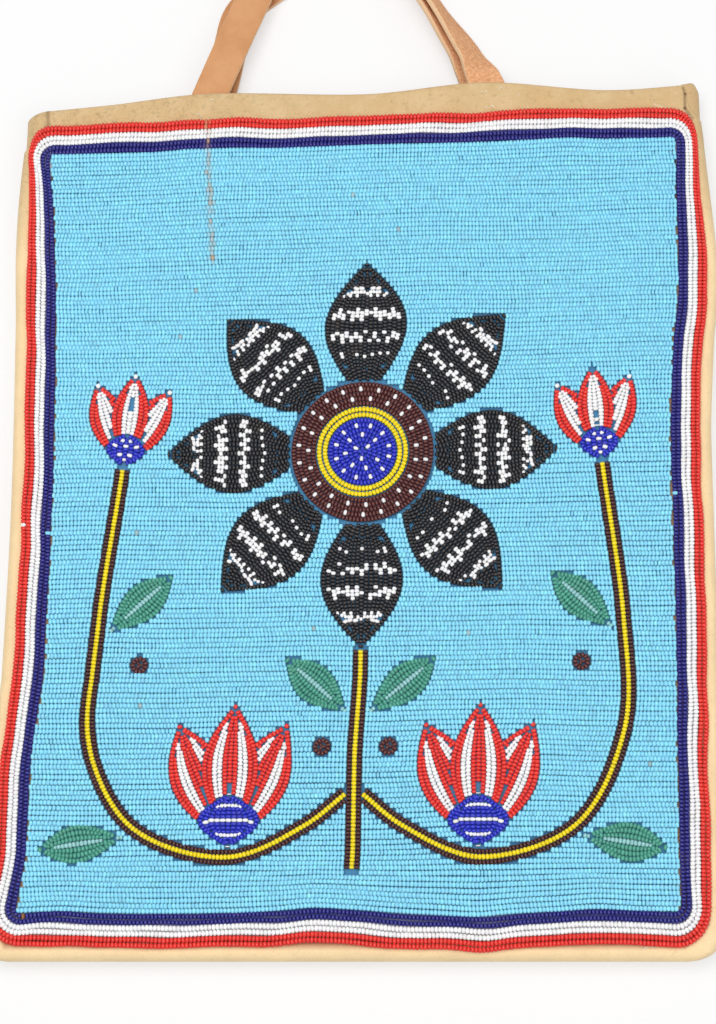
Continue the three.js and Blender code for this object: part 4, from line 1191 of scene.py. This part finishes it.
def gusset_section(inset, ear, phi):
    """Distance out from the bag's middle and height along the gusset's bulge, from the front seam, round
    the side and in under the back. At its ends the front edge comes inwards and up over the panel."""
    front = np.cos(phi) > 0
    seam = BAG_WIDTH / 2 - EAR_SEAT - np.where(front, inset, 0)
    seam_z = np.where(front, BAG_DEPTH - GUSSET_LOW * (1 - 0.8 * ear), GUSSET_LOW)
    reach = seam + (BAG_WIDTH / 2 - 0.5 * MM - seam) * np.sin(phi)
    return reach, BAG_DEPTH / 2 + (seam_z - BAG_DEPTH / 2) * np.abs(np.cos(phi))


def add_gusset():
    """The gusset strip, carried down the left side, across the foot and up the right side."""
    foot = -BAG_HEIGHT / 2
    radius = CORNER_RADIUS + GUSSET_BULGE
    phi = np.linspace(0, math.pi, 21)
    side_y = np.concatenate([np.linspace(MOUTH_Y, 150 * MM, 30),
                             np.linspace(150 * MM, foot + radius, 50)[1:]])
    turn = np.linspace(0, math.pi / 2, 12)[1:-1]
    rows = []
    for side in (-1, 1):
        leg = []
        for y in side_y:
            inset = ear_inset(y, side)
            reach, z = gusset_section(inset, inset / (LEFT_EAR if side < 0 else RIGHT_EAR), phi)
            end = smoothstep(y, MOUTH_Y - 5 * MM, MOUTH_Y)
            tuck = 5 * MM * end * (1 - np.cos(phi)) / 2
            tip = 1.4 * MM * end * (side > 0) * np.exp(-((phi - 0.7) / 0.4) ** 2)
            leg.append(np.stack([side * reach, y - tuck + tip, z], axis=1))
        reach, z = gusset_section(0, 0, phi)
        arm = reach - (BAG_WIDTH / 2 - radius)
        corner = [np.stack([side * (BAG_WIDTH / 2 - radius + math.cos(a) * arm),
                            foot + radius - math.sin(a) * arm, z], axis=1) for a in turn]
        leg += corner
        rows += leg if side < 0 else leg[::-1]
        if side < 0:
            rows += [np.stack([np.full(len(phi), x), foot + BAG_WIDTH / 2 - reach, z], axis=1)
                     for x in np.linspace(-1, 1, 60) * (BAG_WIDTH / 2 - radius)]
    middle = lay_hide(np.array(rows))
    points, blocks = hide_sheet(middle)
    tone = np.ones((len(points), 4))
    piece = new_piece("side_gusset.hide", points, blocks, SUEDE,
                      [("under", tone), ("beaded", np.zeros(len(points)))])
    settle(piece, "hide", "side_gusset")


# Handles

def strap_stations(handle, sewn_z):
    """Places and rolls along a strap's middle line: sewn end, left leg, crown, right leg, sewn end."""
    top = handle["topX"]
    crown_y = MOUTH_Y + handle["reach"] - STRAP_THICKNESS / 2

    def station(x, y, settled, turn):
        roll = turn * math.pi
        rest = (STRAP_WIDTH * math.sin(roll) + STRAP_THICKNESS * abs(math.cos(roll))) / 2 + SEAM_GAP
        return (x, y, sewn_z + (rest - sewn_z) * settled, roll)

    def leg(foot, route):
        return [station(foot + (top - foot) * across, MOUTH_Y + handle["reach"] * share, settled, turn)
                for share, across, settled, turn in route]

    def sewn(foot, turn):
        lean = math.copysign(STRAP_LEAN, top - foot)
        return [station(foot - lean * depth, MOUTH_Y - depth, 0, turn)
                for depth in (STRAP_SEWN_LENGTH, STRAP_SEWN_LENGTH / 2)]

    crown = [station(top + offset, crown_y - LOOP_TOP_RADIUS / 5, 1, turn)
             for offset, turn in ((-LOOP_TOP_RADIUS / 2, 0.49), (LOOP_TOP_RADIUS / 2, 0.51))]
    return np.array([*sewn(handle["leftX"], 0), *leg(handle["leftX"], handle["leftLeg"]), *crown,
                     *leg(handle["rightX"], handle["rightLeg"])[::-1], *sewn(handle["rightX"], 1)[::-1]])


def strap_section():
    """A strap's section, grain face up: a box with round edges, as places across and up."""
    half_width, half_height, radius = STRAP_WIDTH / 2, STRAP_THICKNESS / 2, STRAP_EDGE_RADIUS
    corners = [(half_width, half_height, 0), (-half_width, half_height, 1),
               (-half_width, -half_height, 2), (half_width, -half_height, 3)]
    section = []
    for x, y, quarter in corners:
        turn = (quarter + np.linspace(0, 1, 4)) * math.pi / 2
        section.append(np.stack([x - math.copysign(radius, x) + radius * np.cos(turn),
                                 y - math.copysign(radius, y) + radius * np.sin(turn)], axis=1))
    return np.concatenate(section)


def add_strap(node, handle, sewn_z):
    """The section carried along the strap's smooth line, turned about it by the roll."""
    stations = strap_stations(handle, sewn_z)
    shares = np.linspace(0, 1, 161)
    line = smooth_line(stations[:, :3], shares)
    place = shares * (len(stations) - 1)
    near = np.minimum(place.astype(int), len(stations) - 2)
    roll = stations[near, 3] + (stations[near + 1, 3] - stations[near, 3]) * smoothstep(place - near, 0, 1)
    along = np.gradient(line, axis=0)
    along /= np.linalg.norm(along, axis=1, keepdims=True)
    out = np.stack([-along[:, 1], along[:, 0], np.zeros(len(along))], axis=1)
    out /= np.linalg.norm(out, axis=1, keepdims=True)
    up = np.cross(along, out)
    up *= np.sign(up[:, 2:3])
    cos, sin = np.cos(roll)[:, None], np.sin(roll)[:, None]
    width, face = out * cos + up * sin, up * cos - out * sin
    section = strap_section()
    points = line[:, None] + width[:, None] * section[None, :, :1] + face[:, None] * section[None, :, 1:]
    rings, sides = points.shape[:2]
    flesh = np.tile(section[:, 1] < 0, rings).astype(float)
    cut = np.tile(np.abs(section[:, 0]) > STRAP_WIDTH / 2 - 0.2 * MM, rings).astype(float)
    piece = new_piece(f"{node}.strap", points.reshape(-1, 3), tube_faces(rings, sides), STRAP_LEATHER,
                      [("flesh", flesh), ("cut", cut)])
    settle(piece, "strap_leather", node)


def add_handles():
    front_z = BAG_DEPTH - 2 * HIDE_THICKNESS - 2 * SEAM_GAP - STRAP_THICKNESS / 2
    add_strap("handle_front", FRONT_HANDLE, front_z)
    add_strap("handle_back", BACK_HANDLE, BAG_DEPTH - front_z)


# Thread

def add_thread_ends():
    """Short ends of thread, each a closed tube along an arc that rises by half a sine and sways by a whole
    one, and thins to both ends."""
    along = np.linspace(0, 1, THREAD_RINGS)
    bend = np.sin(np.pi * along)
    turn = np.arange(THREAD_SIDES) * 2 * math.pi / THREAD_SIDES
    radius = THREAD_THICKNESS / 2 * (0.45 + 0.55 * bend)[:, None, None]
    spots, blocks = [], []
    for number, (x, y, way, length) in enumerate(THREAD_ENDS):
        way = math.radians(way)
        run = (along - 0.5) * length * MM
        sway = THREAD_SWAY * length * MM * np.sin(2 * np.pi * along + number)
        line = np.stack([x * MM + run * math.cos(way) - sway * math.sin(way),
                         y * MM + run * math.sin(way) + sway * math.cos(way),
                         BAG_DEPTH + THREAD_SEAT + THREAD_LIFT * bend], axis=1)
        slope = np.gradient(line, axis=0)
        slope /= np.linalg.norm(slope, axis=1, keepdims=True)
        side = np.cross((0, 0, 1), slope)
        side /= np.linalg.norm(side, axis=1, keepdims=True)
        up = np.cross(slope, side)
        spots.append(line[:, None] + side[:, None] * np.cos(turn)[None, :, None] * radius
                     + up[:, None] * np.sin(turn)[None, :, None] * radius)
        blocks += tube_faces(THREAD_RINGS, THREAD_SIDES, number * THREAD_RINGS * THREAD_SIDES)
    piece = new_piece("thread_ends", np.concatenate(spots).reshape(-1, 3), blocks, WHITE_THREAD)
    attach(piece, "root")


# Camera, floor and light

PHOTO_HEIGHT = 1024
FOCAL_PIXELS = 2000
SENSOR = 36
CAMERA_TILT = math.radians(12.5)
CAMERA_DISTANCE = 800 * MM
LOOKED_AT = Vector((-2.5 * MM, -3 * MM, BEAD_CENTRE_Z))
WORLD_LIGHT = 0.42
FLOOR_REACH = 4.0
FLOOR_DROP = 0.1 * MM
FLOOR_WHITE = 0.55


def add_camera():
    data = bpy.data.cameras.new("camera")
    data.sensor_width = SENSOR
    data.lens = FOCAL_PIXELS * SENSOR / PHOTO_HEIGHT
    camera = bpy.data.objects.new("camera", data)
    back = Vector((0, -math.sin(CAMERA_TILT), math.cos(CAMERA_TILT)))
    camera.location = LOOKED_AT + CAMERA_DISTANCE * back
    camera.rotation_euler = (CAMERA_TILT, 0, 0)
    bpy.context.scene.collection.objects.link(camera)
    bpy.context.scene.camera = camera


def add_lamp(name, place, size, power):
    data = bpy.data.lights.new(name, "AREA")
    data.size = size
    data.energy = power
    lamp = bpy.data.objects.new(name, data)
    lamp.location = place
    lamp.rotation_euler = (-Vector(place)).to_track_quat("-Z", "Y").to_euler()
    bpy.context.scene.collection.objects.link(lamp)


def add_floor():
    """A pale floor that shows nearly white, with the bag's soft shadow on it."""
    look = Look("pale_floor", 0.9, Specular_IOR_Level=0.1)
    look.shader.inputs["Base Color"].default_value = (0.86, 0.86, 0.86, 1)
    look.shader.inputs["Emission Color"].default_value = (1, 1, 1, 1)
    seen = look.node("ShaderNodeLightPath", {}, output="Is Camera Ray")
    white = look.node("ShaderNodeEmission", {}, (1, 1, 1, 1), 1.0)
    blend = look.node("ShaderNodeMixShader", {}, seen * FLOOR_WHITE, Value(look, look.shader.outputs[0]),
                      white)
    look.tree.links.new(blend.socket, look.tree.nodes["Material Output"].inputs["Surface"])
    corners = np.array([(-1, -1, 0), (1, -1, 0), (1, 1, 0), (-1, 1, 0)]) * FLOOR_REACH
    floor = new_piece("floor", corners - (0, 0, FLOOR_DROP), [np.array([[0, 1, 2, 3]])], look.material)


def add_world():
    """Soft even light from all round, white where the camera or a reflection sees it."""
    world = bpy.data.worlds.new("studio")
    world.use_nodes = True
    shading = Shading(world.node_tree)
    background = shading.tree.nodes["Background"]
    background.inputs["Color"].default_value = (1, 1, 1, 1)
    seen = 0
    for ray in ("Is Camera Ray", "Is Glossy Ray", "Is Transmission Ray"):
        met = shading.node("ShaderNodeLightPath", {}, output=ray)
        seen = shading.node("ShaderNodeMath", {"operation": "MAXIMUM"}, met, seen)
    shading.feed(background.inputs["Strength"], WORLD_LIGHT + seen * (1 - WORLD_LIGHT))
    bpy.context.scene.world = world


add_camera()
add_floor()
add_world()
add_lamp("key", (-0.3, 0.15, 1.25), 0.8, 10.5)
add_lamp("fill", (0.6, -0.4, 1.1), 0.9, 4.5)
bpy.context.scene.view_settings.view_transform = "Standard"

add_panels()
add_gusset()
add_handles()
add_thread_ends()
spray = Spray()
add_rosette(spray)
add_stems(spray)
add_flowers(spray)
add_leaves_and_berries(spray)
add_border()
add_ground(spray)
